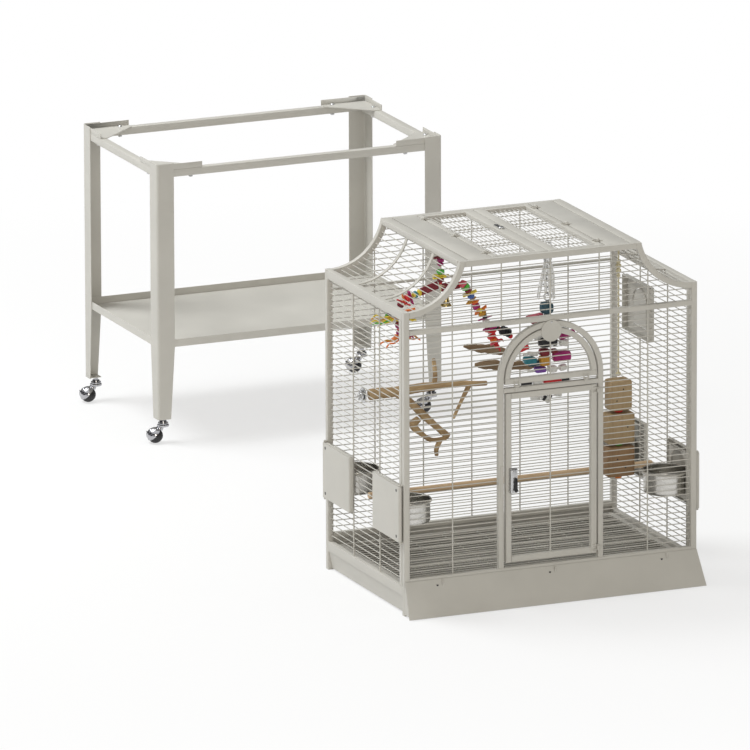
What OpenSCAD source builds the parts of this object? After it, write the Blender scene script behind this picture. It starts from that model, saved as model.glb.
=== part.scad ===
// Bird cage with its rolling stand, set down side by side.
// The cage's front left corner on the floor is the working origin: X along the front, Y to the back.

/* [Cage] */
// Width of the cage over its corner posts
cage_w = 800; // [700:10:900]
// Depth of the cage over its corner posts
cage_d = 500; // [460:10:600]
// Height of the shoulders, where the coves begin
shoulder_h = 780; // [760:5:850]
// Height of the roof above the floor
roof_h = 896; // [885:1:920]
// How far the roof is set in from each side
roof_inset = 153; // [140:1:170]
// Side of the square frame tube
tube = 15; // [12:1:18]
// Rounding of the tube's long edges
edge_r = 1.6; // [0.5:0.1:3]
// Drop of the front mid rail's top below the shoulders
mid_rail_drop = 47; // [40:1:55]
// Height of the front and back mid rails
mid_rail_h = 13; // [10:1:15]
// Depth of the shoulder rail's face
shoulder_rail_h = 23; // [18:1:30]
// Gap between a front post and the side panel's first tube
panel_gap = 3; // [1:1:6]
// Radius of the cove's upper face
cove_r = 147; // [144:1:150]

/* [Wires] */
// Spacing of the horizontal wires
wire_pitch = 15; // [12:0.5:20]
// Diameter of the horizontal wires
wire_d = 2.5; // [2:0.1:3]
// Diameter of the upright wires
upright_d = 3.5; // [3:0.1:4]
// Gap left between crossing wires
weld_gap = 0.03; // [0.02:0.01:0.1]
// How far behind the frame's face the uprights lie
upright_set = 4; // [3:0.5:5]
// Number of bays between the front and back uprights
front_bays = 6; // [4:1:8]

/* [Base] */
// Height of the front rail above the floor
front_rail_z = 80; // [78:1:90]
// Bottom of the side rails
side_rail_z = 48; // [45:1:52]
// Height of the side rails
side_rail_h = 26; // [20:1:28]
// Thickness of sheet metal in the base
sheet = 1.5; // [1:0.1:2]
// How far the apron's foot stands forward of the front
apron_flare = 45; // [30:1:60]
// Gap under the apron and the skirts
floor_gap = 2; // [1:0.5:4]
// How far the apron reaches past each side at its foot
apron_side = 7; // [3:1:9]
// Clearance between sliding or touching parts
slide_gap = 0.3; // [0.2:0.1:1]
// Height of the tray's floor
tray_z = 18; // [14:1:24]
// Height of the tray's rim, where the grate lies
tray_rim_z = 60; // [55:1:62]
// Gap between the tray's side and the corner posts
tray_side_gap = 4; // [2:1:8]
// Height of the floor grate's frame
grate_h = 8; // [6:1:10]
// Width of the grate's border strip
grate_border = 14; // [10:1:20]
// Spacing of the grate's rods
grate_pitch = 19; // [15:0.5:25]
// Diameter of the grate's rods
grate_rod_d = 4; // [3:0.5:5]
// Number of cross rods under the grate
grate_cross_n = 7; // [3:1:11]
// Diameter of the wire of the tray's finger hooks
hook_wire_d = 3; // [2:0.5:4]
// Inner radius of the tray's finger hooks
hook_r = 6; // [5:0.5:9]

/* [Arch and door] */
// Outer radius of the arch
arch_r = 143; // [135:1:150]
// Width of the arch's tube
arch_tube = 14; // [10:1:16]
// Gap between the arch and the window
window_gap = 4; // [3:0.5:6]
// Width of the window's tube
window_tube = 14; // [10:1:16]
// Drop of the window's sill below the arch's centre
sill_drop = 10; // [5:1:15]
// Drop of the fixed crossbar below the arch's centre
crossbar_drop = 31; // [28:1:36]
// Height of the fixed crossbar
crossbar_h = 12; // [8:1:14]
// Bottom of the door
door_z = 108; // [100:1:120]
// Gap between the door's top and the crossbar
door_gap_top = 2; // [1:0.5:4]
// Gap on the door's latch side
door_gap_l = 6; // [4:0.5:8]
// Gap on the door's hinge side
door_gap_r = 4; // [4:0.5:6]
// Radius of the door and window hinge pins
pin_r = 2; // [1.5:0.1:2.5]
// Running clearance around every pin
pin_gap = 0.05; // [0.03:0.01:0.08]
// Wall of the hinge rings
ring_wall = 1.6; // [1.2:0.1:2]
// Height of each hinge ring
ring_h = 8; // [6:1:12]
// Radius of the round turn catch on the window
disc_r = 28; // [22:1:30]
// Thickness of the turn catch
disc_t = 2.5; // [2:0.1:4]
// Width of the latch case
latch_w = 21; // [18:1:26]
// Height of the latch case
latch_h = 64; // [50:1:80]
// Bottom of the latch case
latch_z = 288; // [250:1:320]
// How far the latch case stands out
latch_t = 11; // [8:1:14]

/* [Roof] */
// Width of the roof's side rails
roof_rail_w = 27; // [22:1:30]
// Width of the plates beside the rails
roof_plate_w = 64; // [50:1:70]
// Gap beside each roof plate
roof_slit = 3; // [2:0.5:5]
// Thickness of the roof plates
roof_plate_t = 4; // [2:0.5:6]
// Width of the roof door's frame tube
roof_tube = 15; // [12:1:18]
// Width of the roof door's inner bar, where the two doors meet
roof_mid_w = 27; // [20:1:32]
// Gap between the two roof doors
roof_mid_gap = 2; // [1.5:0.5:4]

/* [Feeders] */
// Distance from the front to the front feeder's hinge
feeder_y = 12; // [10:1:14]
// Width of a feeder door
feeder_w = 166; // [160:1:170]
// Bottom of the feeder doors
feeder_z = 190; // [180:1:200]
// Height of the feeder doors
feeder_h = 143; // [138:1:150]
// How far a feeder door stands out of the wall
feeder_t = 12; // [11.5:0.5:15]
// Outer radius of the feeder door's rolled hinge edge
feeder_knuckle_r = 5; // [4.5:0.5:5.5]
// Radius of the feeder's hinge pin
feeder_pin_r = 1.5; // [1.2:0.1:2]
// Outer radius of a bowl at its rim
bowl_r = 57.5; // [50:0.5:58]
// Height of a bowl
bowl_h = 60; // [50:1:65]
// Height of a bowl's rim above the floor
bowl_z = 280; // [275:1:290]
// Wall of a bowl
bowl_wall = 1.2; // [0.8:0.1:2]
// Bowl centre's distance from the wall's outer face
bowl_in = 48; // [47:1:52]
// Bowl centre's distance from the feeder's hinge
bowl_back = 74; // [72:1:75]
// How far the hood plate stands inside the wall
hood_set = 12; // [11.5:0.5:14]
// Width of the hood plate
hood_w = 109; // [106:1:112]
// Diameter of the wire ring that holds a bowl
bowl_ring_d = 4; // [3:0.5:5]

/* [Nest hatch] */
// Front edge of the nest plate
nest_y = 261; // [240:1:280]
// Width of the nest plate
nest_w = 164; // [150:1:170]
// Drop of the nest plate's bottom below the shoulders
nest_drop = 218; // [210:1:230]
// Height of the nest plate
nest_h = 141; // [130:1:150]
// Radius of the nest plate's arched opening
nest_hole_r = 42; // [30:1:50]

/* [Perches] */
// Diameter of the dowel perch
dowel_d = 17; // [12:1:22]
// Height of the dowel perch
dowel_z = 250; // [235:1:270]
// Radius of the branch at its wall end
branch_r = 15; // [12:1:18]
// Height of the branch's wall end
branch_z = 502; // [495:1:510]
// Distance of the branch's wall end from the front
branch_y = 284; // [275:1:300]

/* [Toys] */
// Distance of the block toy from the left side
block_toy_x = 449; // [440:1:455]
// Distance of the block toy from the front
block_toy_y = 132; // [125:1:150]
// Size of the toy's blocks
block_s = 30; // [24:1:34]
// Mean radius of the toy's links
link_r = 10; // [8:0.5:12]
// Diameter of the toy's links
link_d = 3.5; // [3:0.5:4]
// Cove wire that carries the wooden toy, counted from the shoulder
wood_wire = 8; // [7:1:9]
// Distance of the wooden toy from the front
wood_toy_y = 185; // [180:1:200]
// Length of the wooden toy's blocks
wood_block_l = 74; // [60:1:80]
// Height of the wooden toy's blocks
wood_block_h = 78; // [60:1:80]
// Depth of the wooden toy's blocks
wood_block_d = 46; // [36:1:50]
// Length of the wooden toy's rope
wood_rope_l = 330; // [300:5:340]

/* [Stand] */
// Width of the stand over its legs
stand_w = 808; // [760:1:900]
// Depth of the stand over its legs
stand_d = 508; // [480:1:600]
// Height of the legs' tops
leg_top = 751; // [700:1:800]
// Height of the legs' feet
leg_foot = 65; // [63:1:70]
// Height at which the legs begin to taper
leg_kink = 260; // [240:1:300]
// Width of each leg flange at the top
leg_w = 48; // [44:1:54]
// Width of the front and back flanges at the foot
foot_w = 36; // [34:1:44]
// Width of the side flanges at the foot
foot_side_w = 35; // [33:1:40]
// Thickness of the leg's sheet
leg_t = 2; // [1.5:0.5:3]
// Outer radius of the leg's corner
leg_r = 7; // [4:1:10]
// Side of the stand's top rails
rail_s = 20; // [16:1:24]
// Drop of the top rails below the leg tops
rail_drop = 17; // [15:1:20]
// Length of a gusset along the width
gusset_x = 127; // [110:1:150]
// Length of a gusset along the depth
gusset_y = 115; // [100:1:130]
// Height of a gusset's upstand
gusset_h = 15; // [10:1:15]
// Distance of the gusset bolt along the width
bolt_x = 100; // [85:1:110]
// Distance of the gusset bolt along the depth
bolt_y = 82; // [70:1:95]
// Radius of the gusset bolts
bolt_r = 3; // [2.5:0.5:4]
// Height of the shelf's floor
shelf_z = 258; // [200:1:300]
// Height of the shelf's lip
shelf_lip = 20; // [15:1:25]
// Size of the tabs that carry the shelf
tab_s = 26; // [20:1:32]

/* [Casters] */
// Radius of the caster's ball wheel
ball_r = 20; // [18:0.5:21]
// Thickness of the caster's hood
hood_t = 1.6; // [1.2:0.1:1.8]
// Clearance between ball and hood
hood_gap = 0.6; // [0.5:0.1:1]
// Distance of the swivel axis from the leg's corner
stem_in = 22; // [20:1:24]
// Distance from the swivel axis to the ball's centre
trail = 22; // [21:0.5:24]
// Radius of the swivel pin
swivel_pin_r = 4; // [3:0.5:5]
// Radius of the caster's axle
axle_r = 2.5; // [2:0.5:3]
// Radius of the caster's collar
collar_r = 12; // [10:0.5:13]

/* [Layout] */
// Stand's distance from the cage along the width
stand_x = 80; // [60:10:120]
// Stand's distance behind the cage's front
stand_y = 1800; // [1700:50:2000]

/* [Hidden] */

// Number of bays between the side uprights
side_bays = 3;
// Tilt of the caster's axle from the floor
axle_tilt = 45;
// Facets of a curve, of a wire and of a hull's own children
curve_n = 96;
wire_n = 24;
hull_n = 10;

// The origin is under the centre of the whole set's box
far_right = max(cage_w + feeder_t, stand_x + stand_w);
far_left = min(-feeder_t, stand_x);
far_back = stand_y + stand_d;
apron_back = 2 * slide_gap;
far_front = -apron_back - apron_flare - sheet;
origin = [(far_left + far_right) / 2, (far_front + far_back) / 2, 0];

// Colours
coat = [0.72, 0.70, 0.66];
steel = [0.80, 0.80, 0.82];
dark = [0.12, 0.12, 0.12];
wood = [0.72, 0.55, 0.36];

// Planes and heights shared by the frame and the wires
mid_rail_top = shoulder_h - mid_rail_drop;
mid_rail_z = mid_rail_top - mid_rail_h;
front_rail_top = front_rail_z + tube;
shoulder_z = shoulder_h - shoulder_rail_h;
side_rail_top = side_rail_z + side_rail_h;
roof_rail_z = roof_h - tube;
upright_c = upright_set + upright_d / 2;
wire_c = upright_c + upright_d / 2 + weld_gap + wire_d / 2;
wire_in = wire_c + wire_d / 2;
panel_y = tube + panel_gap;
panel_in = panel_y + tube;

// The cove's arc runs from the shoulder's outer edge to the roof's edge
chord = [roof_inset, roof_h - shoulder_h];
chord_l = norm(chord);
chord_rise = sqrt(pow(cove_r, 2) - pow(chord_l / 2, 2));
cove_x = roof_inset / 2 - chord[1] / chord_l * chord_rise;
cove_z = (shoulder_h + roof_h) / 2 + chord[0] / chord_l * chord_rise;
cove_under = cove_r + tube;
bar_t = 3;
bar_w = 12;
cove_bar_r = cove_r + 2;
cove_wire_r = cove_bar_r + bar_t + weld_gap + wire_d / 2;
// The cove's tubes run between these angles, from the right upwards, and are trimmed at both ends
cove_from = 269 - asin(cove_x / cove_under);
cove_to = 272 + acos((cove_z - roof_h) / cove_under);
// The cove's wires lie between these angles from straight down
cove_a0 = asin((tube + wire_pitch / 2 - cove_x) / cove_wire_r);
cove_a1 = acos((cove_z - roof_rail_z + wire_d / 2 + slide_gap) / cove_wire_r);
cove_n = floor((cove_a1 - cove_a0) * PI / 180 * cove_wire_r / wire_pitch);
function cove_wire(i) = let (a = cove_a0 + (cove_a1 - cove_a0) * i / cove_n)
    [cove_x + cove_wire_r * sin(a), cove_z - cove_wire_r * cos(a)];
// Inner face of the cove's tube at a height, and at a distance from the side
function under_x(z) = cove_x + sqrt(max(0, pow(cove_under, 2) - pow(cove_z - z, 2)));
function under_z(x) = cove_z - sqrt(max(0, pow(cove_under, 2) - pow(x - cove_x, 2)));
// Where a wire at height z starts inside the front and back frames
function wire_x0(z) = z + wire_d / 2 < cove_z - cove_under ? tube : max(tube, under_x(z + wire_d / 2));
// Where the arch's outer curve stands at height z
function arch_half(z) = z - wire_d / 2 < arch_z ? arch_r
    : sqrt(max(0, pow(arch_r, 2) - pow(z - wire_d / 2 - arch_z, 2)));

// Arch, window and door
mid_x = cage_w / 2;
arch_z = mid_rail_z - arch_r;
sill_z = arch_z - sill_drop;
crossbar_z = arch_z - crossbar_drop;
door_top = crossbar_z - door_gap_top;
arch_in = arch_r - arch_tube;
window_r = arch_in - window_gap;
window_in = window_r - window_tube;
sill_top = sill_z + window_tube;
crossbar_top = crossbar_z + crossbar_h;
door_x0 = mid_x - arch_in + door_gap_l;
door_x1 = mid_x + arch_in - door_gap_r;
ring_r = pin_r + pin_gap + ring_wall;
door_hinge_x = door_x1 + door_gap_r / 2;
hinge_leaf = 12;
hinge_arm_h = 3;
door_hinge_z = [door_z + 14, door_top - 14];
window_hinge_z = (crossbar_top + sill_z) / 2;
window_hinge_x = [mid_x - 95, mid_x + 95];

// Latch
latch_x = door_x0 + 7;
lever_x = latch_x + latch_w * 0.62;
lever_row = floor((latch_z + latch_h * 0.6 - door_z - tube) / wire_pitch);
lever_z = door_z + tube + (lever_row + 0.5) * wire_pitch;
lever_l = 36;
lever_w = 8;
lever_t = 6;
shaft_r = 3;
cam_t = 3;
cam_l = lever_x - (mid_x - arch_r) - 4;
disc_z = arch_z + (window_r + window_in) / 2;
tongue_l = window_gap + arch_tube + 3;

// Roof
roof_rail_x0 = roof_inset - 2;
roof_rail_x1 = roof_rail_x0 + roof_rail_w;
roof_plate_x0 = roof_rail_x1 + roof_slit;
roof_plate_x1 = roof_plate_x0 + roof_plate_w;
roof_door_x0 = roof_plate_x1 + roof_slit;
roof_door_x1 = mid_x - roof_mid_gap / 2;
roof_door_h = 12;
roof_door_z = roof_h - roof_door_h;
roof_door_y0 = tube + 2;
roof_door_y1 = cage_d - tube - 2;
roof_hinge_x = roof_plate_x1 + roof_slit / 2;
roof_hinge_y = [cage_d * 0.12, cage_d / 2, cage_d * 0.88];
roof_latch_y = cage_d * 0.55;

// Base
apron_foot = floor_gap;
tray_x0 = tube + tray_side_gap;
tray_x1 = cage_w - tray_x0;
tray_y0 = slide_gap;
tray_y1 = cage_d - tube - 5;
grate_x0 = tray_x0 + 1;
grate_y0 = tray_y0 + 8;
grate_y1 = tray_y1 - 2;
hook_x = [93, mid_x, cage_w - 93];

// Feeders: one frame at each side wall's corner, u points out of the wall, v away from the hinge
pin_u = feeder_t - feeder_knuckle_r;
hood_u = -hood_set;
hood_v0 = bowl_back - hood_w * 0.46;
hood_v1 = hood_v0 + hood_w;
hood_z0 = feeder_z + 15;
hood_z1 = feeder_z + feeder_h - 8;
bowl_hole_r = sqrt(pow(bowl_r, 2) - pow(bowl_in + hood_u + sheet, 2)) + 2;
side_bay = cage_d / side_bays;
feeder_top = feeder_z + feeder_h;

// Nest
nest_z = shoulder_h - nest_drop;

// Perches and toys
branch_x = wire_in + weld_gap;
washer_t = 2.5;
washer_r = 20;
roof_wire_z = roof_h - roof_door_h / 2;
toy_hang_z = roof_wire_z - wire_d / 2 - slide_gap;
link_step = 2 * (link_r - link_d / 2) - slide_gap;

// Stand
rail_top = leg_top - rail_drop;
rail_z = rail_top - rail_s;
stem_top = leg_foot + 1;
collar_z = 2 * ball_r + hood_t + 1;
collar_h = 6;

// ---- Shared shapes ----

// Outline of a rectangle with rounded corners, from its lower left corner
function round_rect(w, h, r) = [
    for (c = [[w - r, h - r, 0], [r, h - r, 90], [r, r, 180], [w - r, r, 270]], a = [0:30:90])
        [c[0] + r * cos(c[2] + a), c[1] + r * sin(c[2] + a)]
];

// Tubes between two stations along an axis, w across and h high
module tube_z(x, y, z0, z1, w = tube, d = tube)
    translate([x, y, z0]) linear_extrude(z1 - z0) polygon(round_rect(w, d, edge_r));
module tube_x(x0, x1, y, z, d = tube, h = tube)
    translate([x0, y, z]) rotate([90, 0, 90]) linear_extrude(x1 - x0) polygon(round_rect(d, h, edge_r));
module tube_y(y0, y1, x, z, w = tube, h = tube)
    translate([x, y1, z]) rotate([90, 0, 0]) linear_extrude(y1 - y0) polygon(round_rect(w, h, edge_r));

// Wires between two stations along an axis
module wire_x(x0, x1, y, z, d = wire_d) translate([x0, y, z]) rotate([0, 90, 0])
    cylinder(d = d, h = x1 - x0, $fn = wire_n);
module wire_y(y0, y1, x, z, d = wire_d) translate([x, y0, z]) rotate([-90, 0, 0])
    cylinder(d = d, h = y1 - y0, $fn = wire_n);
module wire_z(x, y, z0, z1, d = upright_d) translate([x, y, z0]) cylinder(d = d, h = z1 - z0, $fn = wire_n);

// A length of tube bent round an axis along the depth; angles are from the right, upwards
module bend(x, z, r0, w, y0, d, a0, a1)
    translate([x, y0 + d / 2, z]) rotate([90, 0, 0]) rotate([0, 0, a0])
        rotate_extrude(angle = a1 - a0, $fn = curve_n)
            translate([r0, -d / 2]) polygon(round_rect(w, d, min(edge_r, w / 2 - 0.1)));

// Mirror about the cage's middle plane
module mirrored() translate([cage_w, 0, 0]) mirror([1, 0, 0]) children();
module both_sides() {
    children();
    mirrored() children();
}

// Everything is drawn from the cage's corner and moved to the origin
module placed() translate(-origin) children();
module on_stand() placed() translate([stand_x, stand_y, 0]) children();

// A sheet-metal strip drawn by its side view in Y and Z, running along X
module strip_x(x0, x1, outline) translate([x0, 0, 0]) rotate([90, 0, 90]) linear_extrude(x1 - x0)
    polygon(outline);

// ---- Hinges: axis along Z at the origin, the plates' common face at y = ring_r ----

module hinge_ring() difference() {
    union() {
        translate([0, 0, -ring_h / 2]) cylinder(r = ring_r, h = ring_h, $fn = curve_n);
        translate([0, ring_r - ring_wall, -ring_h / 2]) cube([hinge_leaf, ring_wall, ring_h]);
    }
    translate([0, 0, -ring_h]) cylinder(r = pin_r + pin_gap, h = 2 * ring_h, $fn = curve_n);
}

module hinge_pin() {
    reach = ring_h / 2 + slide_gap;
    translate([0, 0, -reach - hinge_arm_h])
        cylinder(r = pin_r, h = 2 * (reach + hinge_arm_h), $fn = curve_n);
    for (z = [-reach - hinge_arm_h, reach])
        translate([-hinge_leaf, 0, z]) cube([hinge_leaf, ring_r, hinge_arm_h]);
}

module at_door_hinges() for (z = door_hinge_z) translate([door_hinge_x, -ring_r, z]) children();
module at_window_hinges() for (x = window_hinge_x) translate([x, -ring_r, window_hinge_z])
    rotate([0, 90, 0]) children();
module at_roof_hinges() for (y = roof_hinge_y)
    translate([roof_hinge_x, y, roof_h + ring_r]) rotate([-90, 0, 180]) children();
module at_nest_hinges() for (z = [nest_z + 30, nest_z + nest_h - 58])
    translate([cage_w + ring_r, nest_y + nest_w / 2 - nest_hole_r - 0.75, z]) rotate([180, 0, -90])
        children();

// ---- Stand ----

// One leg: an angle of sheet metal that tapers below its kink, with its foot plate and shelf tab
module leg() {
    difference() {
        translate([0, 0, leg_foot]) linear_extrude(leg_top - leg_foot) difference() {
            union() {
                translate([leg_r, leg_r]) circle(r = leg_r, $fn = curve_n);
                translate([leg_r, 0]) square([leg_w - leg_r, leg_w]);
                translate([0, leg_r]) square([leg_w, leg_w - leg_r]);
            }
            translate([leg_r, leg_r]) circle(r = leg_r - leg_t, $fn = curve_n);
            translate([leg_r, leg_t]) square([leg_w, leg_w]);
            translate([leg_t, leg_r]) square([leg_w, leg_w]);
        }
        translate([0, leg_t + leg_w, 0]) rotate([90, 0, 0]) linear_extrude(2 * leg_w) polygon([
            [leg_w, leg_kink], [foot_w, leg_foot - 1], [2 * leg_w, leg_foot - 1], [2 * leg_w, leg_kink]
        ]);
        rotate([90, 0, 90]) linear_extrude(2 * leg_w) polygon([
            [leg_w, leg_kink], [foot_side_w, leg_foot - 1], [2 * leg_w, leg_foot - 1], [2 * leg_w, leg_kink]
        ]);
    }
    translate([leg_t / 2, leg_t / 2, leg_foot + 1]) cube([foot_side_w - 3, foot_side_w - 3, leg_t]);
    translate([leg_t / 2, leg_t / 2, shelf_z - leg_t]) cube([tab_s, tab_s, leg_t]);
}

// A piece at each corner of the stand, turned to face inwards
module at_corner(right, back) translate([right * stand_w, back * stand_d, 0]) mirror([right, 0, 0])
    mirror([0, back, 0]) children();
module at_corners() for (right = [0, 1], back = [0, 1]) at_corner(right, back) children();
module bolt_places() for (p = [[bolt_x, leg_t + rail_s / 2], [leg_t + rail_s / 2, bolt_y]])
    translate([p[0], p[1], 0]) children();

module stand_leg_front_left() color(coat) on_stand() at_corner(0, 0) leg();
module stand_leg_front_right() color(coat) on_stand() at_corner(1, 0) leg();
module stand_leg_back_left() color(coat) on_stand() at_corner(0, 1) leg();
module stand_leg_back_right() color(coat) on_stand() at_corner(1, 1) leg();

// The space between the four legs, with corners rounded as the legs' inner faces are
module between_legs(gap) translate([leg_t + gap, leg_t + gap, 0]) linear_extrude(leg_top)
    polygon(round_rect(stand_w - 2 * (leg_t + gap), stand_d - 2 * (leg_t + gap), leg_r - leg_t));

module stand_rails() color(coat) on_stand() difference() {
    intersection() {
        union() {
            for (y = [leg_t, stand_d - leg_t - rail_s])
                tube_x(leg_t, stand_w - leg_t, y, rail_z, rail_s, rail_s);
            for (x = [leg_t, stand_w - leg_t - rail_s])
                tube_y(leg_t + rail_s, stand_d - leg_t - rail_s, x, rail_z, rail_s, rail_s);
        }
        between_legs(0);
    }
    at_corners() bolt_places() translate([0, 0, rail_z - 1])
        cylinder(r = bolt_r + 0.1, h = rail_s + 2, $fn = curve_n);
}

// A gusset: a triangular plate over the corner with an upstand along each leg's face
module gusset() difference() {
    union() {
        translate([0, 0, rail_top]) linear_extrude(leg_t) polygon([
            [leg_t, leg_t], [leg_t + gusset_x, leg_t], [leg_t + gusset_x, leg_t + rail_s],
            [leg_t + rail_s, leg_t + gusset_y], [leg_t, leg_t + gusset_y]
        ]);
        translate([leg_t, leg_t, rail_top]) cube([gusset_x, leg_t, gusset_h]);
        translate([leg_t, leg_t, rail_top]) cube([leg_t, gusset_y, gusset_h]);
    }
    bolt_places() translate([0, 0, rail_top - 1]) cylinder(r = bolt_r + 0.1, h = leg_t + 2, $fn = curve_n);
}
module corner_gussets() color(coat) on_stand() intersection() {
    at_corners() gusset();
    between_legs(0);
}

// A domed bolt with its washer face on the gusset and a cap nut under the rail
module gusset_bolt() {
    head = bolt_r * 2;
    top = rail_top + leg_t;
    translate([0, 0, top]) intersection() {
        cylinder(r = head, h = head, $fn = curve_n);
        translate([0, 0, -head * 0.55]) sphere(r = head * 1.15, $fn = curve_n);
    }
    translate([0, 0, rail_z - head]) cylinder(r = bolt_r, h = rail_s + leg_t + head + 1, $fn = curve_n);
    translate([0, 0, rail_z - head * 0.8]) cylinder(r = head, h = head * 0.8, $fn = 6);
    translate([0, 0, rail_z - head * 0.8]) sphere(r = head * 0.75, $fn = curve_n);
}
module gusset_bolts() color(steel) on_stand() at_corners() bolt_places() gusset_bolt();

// The shelf is a tray with a lip all round, standing on the legs' tabs
module shelf_tray() color(coat) on_stand() difference() {
    intersection() {
        between_legs(slide_gap);
        translate([0, 0, shelf_z]) cube([stand_w, stand_d, shelf_lip]);
    }
    intersection() {
        between_legs(slide_gap + sheet);
        translate([0, 0, shelf_z + sheet]) cube([stand_w, stand_d, shelf_lip]);
    }
}

// ---- Casters: swivel axis along Z at the origin, the ball trails towards -X ----

module at_ball() translate([-trail, 0, ball_r]) rotate([0, -axle_tilt, 0]) children();
// Half a ball on the upper side of the tilted parting plane
module half_ball(r) rotate_extrude($fn = curve_n) intersection() {
    circle(r = r, $fn = curve_n);
    square([2 * r, 2 * r]);
}

module caster_hood() difference() {
    union() {
        at_ball() half_ball(ball_r + hood_t + hood_gap);
        translate([0, 0, collar_z]) cylinder(r = collar_r, h = collar_h, $fn = curve_n);
        translate([-collar_r * 0.7, 0, ball_r * 1.6])
            cylinder(r = collar_r * 0.75, h = collar_z - ball_r * 1.6 + 1, $fn = curve_n);
    }
    at_ball() sphere(r = ball_r + hood_gap, $fn = curve_n);
    translate([0, 0, collar_z - 1]) cylinder(r = swivel_pin_r + pin_gap, h = collar_h + 2, $fn = curve_n);
}
// The axle runs from the hood's crown through the ball
module caster_axle() at_ball() translate([0, 0, -ball_r * 0.55])
    cylinder(r = axle_r, h = ball_r * 1.55 + hood_gap + hood_t / 2, $fn = curve_n);
module caster_hood_and_axle() {
    caster_hood();
    caster_axle();
}
// The wheel is the lower half ball with a drum that runs up inside the hood
module caster_wheel() difference() {
    at_ball() rotate_extrude($fn = curve_n) difference() {
        union() {
            intersection() {
                circle(r = ball_r, $fn = curve_n);
                translate([0, -2 * ball_r]) square([2 * ball_r, 2 * ball_r - hood_gap]);
            }
            translate([0, -hood_gap - 1]) square([ball_r * 0.6, ball_r * 0.7]);
        }
        translate([0, -ball_r * 0.6]) square([axle_r + pin_gap, 2 * ball_r]);
    }
}
module caster_stem() {
    translate([0, 0, collar_z]) cylinder(r = swivel_pin_r, h = stem_top - collar_z, $fn = curve_n);
    translate([0, 0, collar_z + collar_h + slide_gap])
        cylinder(r = collar_r - 1, h = collar_h, $fn = curve_n);
    translate([0, 0, leg_foot - 5]) cylinder(r = collar_r * 0.6, h = stem_top - leg_foot + 5, $fn = 6);
}
module at_caster(right, back) on_stand() translate([
    right ? stand_w - stem_in : stem_in, back ? stand_d - stem_in : stem_in, 0
]) children();

module caster_stems() color(steel) for (right = [0, 1], back = [0, 1]) at_caster(right, back) caster_stem();
module caster_hood_front_left() color(steel) at_caster(0, 0) caster_hood_and_axle();
module caster_hood_front_right() color(steel) at_caster(1, 0) caster_hood_and_axle();
module caster_hood_back_left() color(steel) at_caster(0, 1) caster_hood_and_axle();
module caster_hood_back_right() color(steel) at_caster(1, 1) caster_hood_and_axle();
module caster_wheel_front_left() color(dark) at_caster(0, 0) caster_wheel();
module caster_wheel_front_right() color(dark) at_caster(1, 0) caster_wheel();
module caster_wheel_back_left() color(dark) at_caster(0, 1) caster_wheel();
module caster_wheel_back_right() color(dark) at_caster(1, 1) caster_wheel();

// ---- Cage frame ----

// The roof's front or back rail, cut to sit between the coves
module roof_cross_rail(y) difference() {
    tube_x(roof_inset, cage_w - roof_inset, y, roof_rail_z);
    both_sides() translate([cove_x, y + tube + 1, cove_z]) rotate([90, 0, 0])
        cylinder(r = cove_under + 0.1, h = tube + 2, $fn = curve_n);
}

module front_frame() color(coat) placed() {
    both_sides() tube_z(0, 0, 0, shoulder_h);
    tube_x(tube, cage_w - tube, 0, front_rail_z);
    tube_x(tube, cage_w - tube, 0, mid_rail_z, tube, mid_rail_h);
    roof_cross_rail(0);
}

module back_frame() color(coat) placed() {
    y = cage_d - tube;
    both_sides() tube_z(0, y, 0, shoulder_h);
    tube_x(tube, cage_w - tube, y, front_rail_z);
    tube_x(tube, cage_w - tube, cage_d - tube * 0.6, mid_rail_z + mid_rail_h / 4, tube * 0.6,
        mid_rail_h / 2);
    roof_cross_rail(y);
}

// Each side: the first tube, the shoulder rail and the bottom rail
module side_frame() {
    tube_y(tube, cage_d - tube, 0, shoulder_z, tube, shoulder_rail_h);
    tube_y(tube, cage_d - tube, 0, side_rail_z, tube, side_rail_h);
    tube_z(0, panel_y, side_rail_top, shoulder_z);
}
module side_frames() color(coat) placed() both_sides() side_frame();

// A cove tube, cut square against the post and level with the roof
module cove_tube(y) difference() {
    bend(cove_x, cove_z, cove_r, tube, y, tube, cove_from, cove_to);
    translate([-tube, y - 1, shoulder_h - 2 * tube]) cube([2 * tube, tube + 2, 3 * tube]);
    translate([0, y - 1, roof_h]) cube([2 * roof_inset, tube + 2, 2 * tube]);
}
module cove_tubes() color(coat) placed() both_sides() for (y = [0, cage_d - tube]) cove_tube(y);

module roof_frame() color(coat) placed() both_sides() {
    tube_y(tube, cage_d - tube, roof_rail_x0, roof_rail_z, roof_rail_w);
    tube_y(tube, cage_d - tube, roof_plate_x0, roof_h - roof_plate_t, roof_plate_w, roof_plate_t);
}

module arch_frame() color(coat) placed() {
    for (x = [mid_x - arch_r, mid_x + arch_in]) tube_z(x, 0, front_rail_top, arch_z, arch_tube);
    difference() {
        bend(mid_x, arch_z, arch_in, arch_tube - slide_gap, 0, tube, 0, 180);
        translate([0, -1, 0]) cube([cage_w, tube + 2, arch_z]);
    }
    tube_x(mid_x - arch_in, mid_x + arch_in, 0, crossbar_z, tube, crossbar_h);
    translate([mid_x - arch_r + 4, -sheet, latch_z - 9]) cube([arch_tube - 5, sheet, latch_h + 16]);
}

// ---- Grilles ----

// Stations of the wires between two heights
function rows(z0, z1, pitch = wire_pitch) = [for (i = [1:floor((z1 - z0) / pitch - 0.4)]) z0 + i * pitch];
function bays(w, n) = [for (i = [1:n - 1]) w * i / n];

// The rows above the mid rail, under the coves and the roof, and the uprights there
module upper_rows(y, y_up) {
    for (z = rows(mid_rail_top, roof_rail_z)) wire_x(wire_x0(z), cage_w - wire_x0(z), y, z);
    for (x = bays(cage_w, front_bays))
        wire_z(x, y_up, mid_rail_top, min(roof_rail_z, under_z(min(x, cage_w - x) - upright_d / 2)));
}

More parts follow.
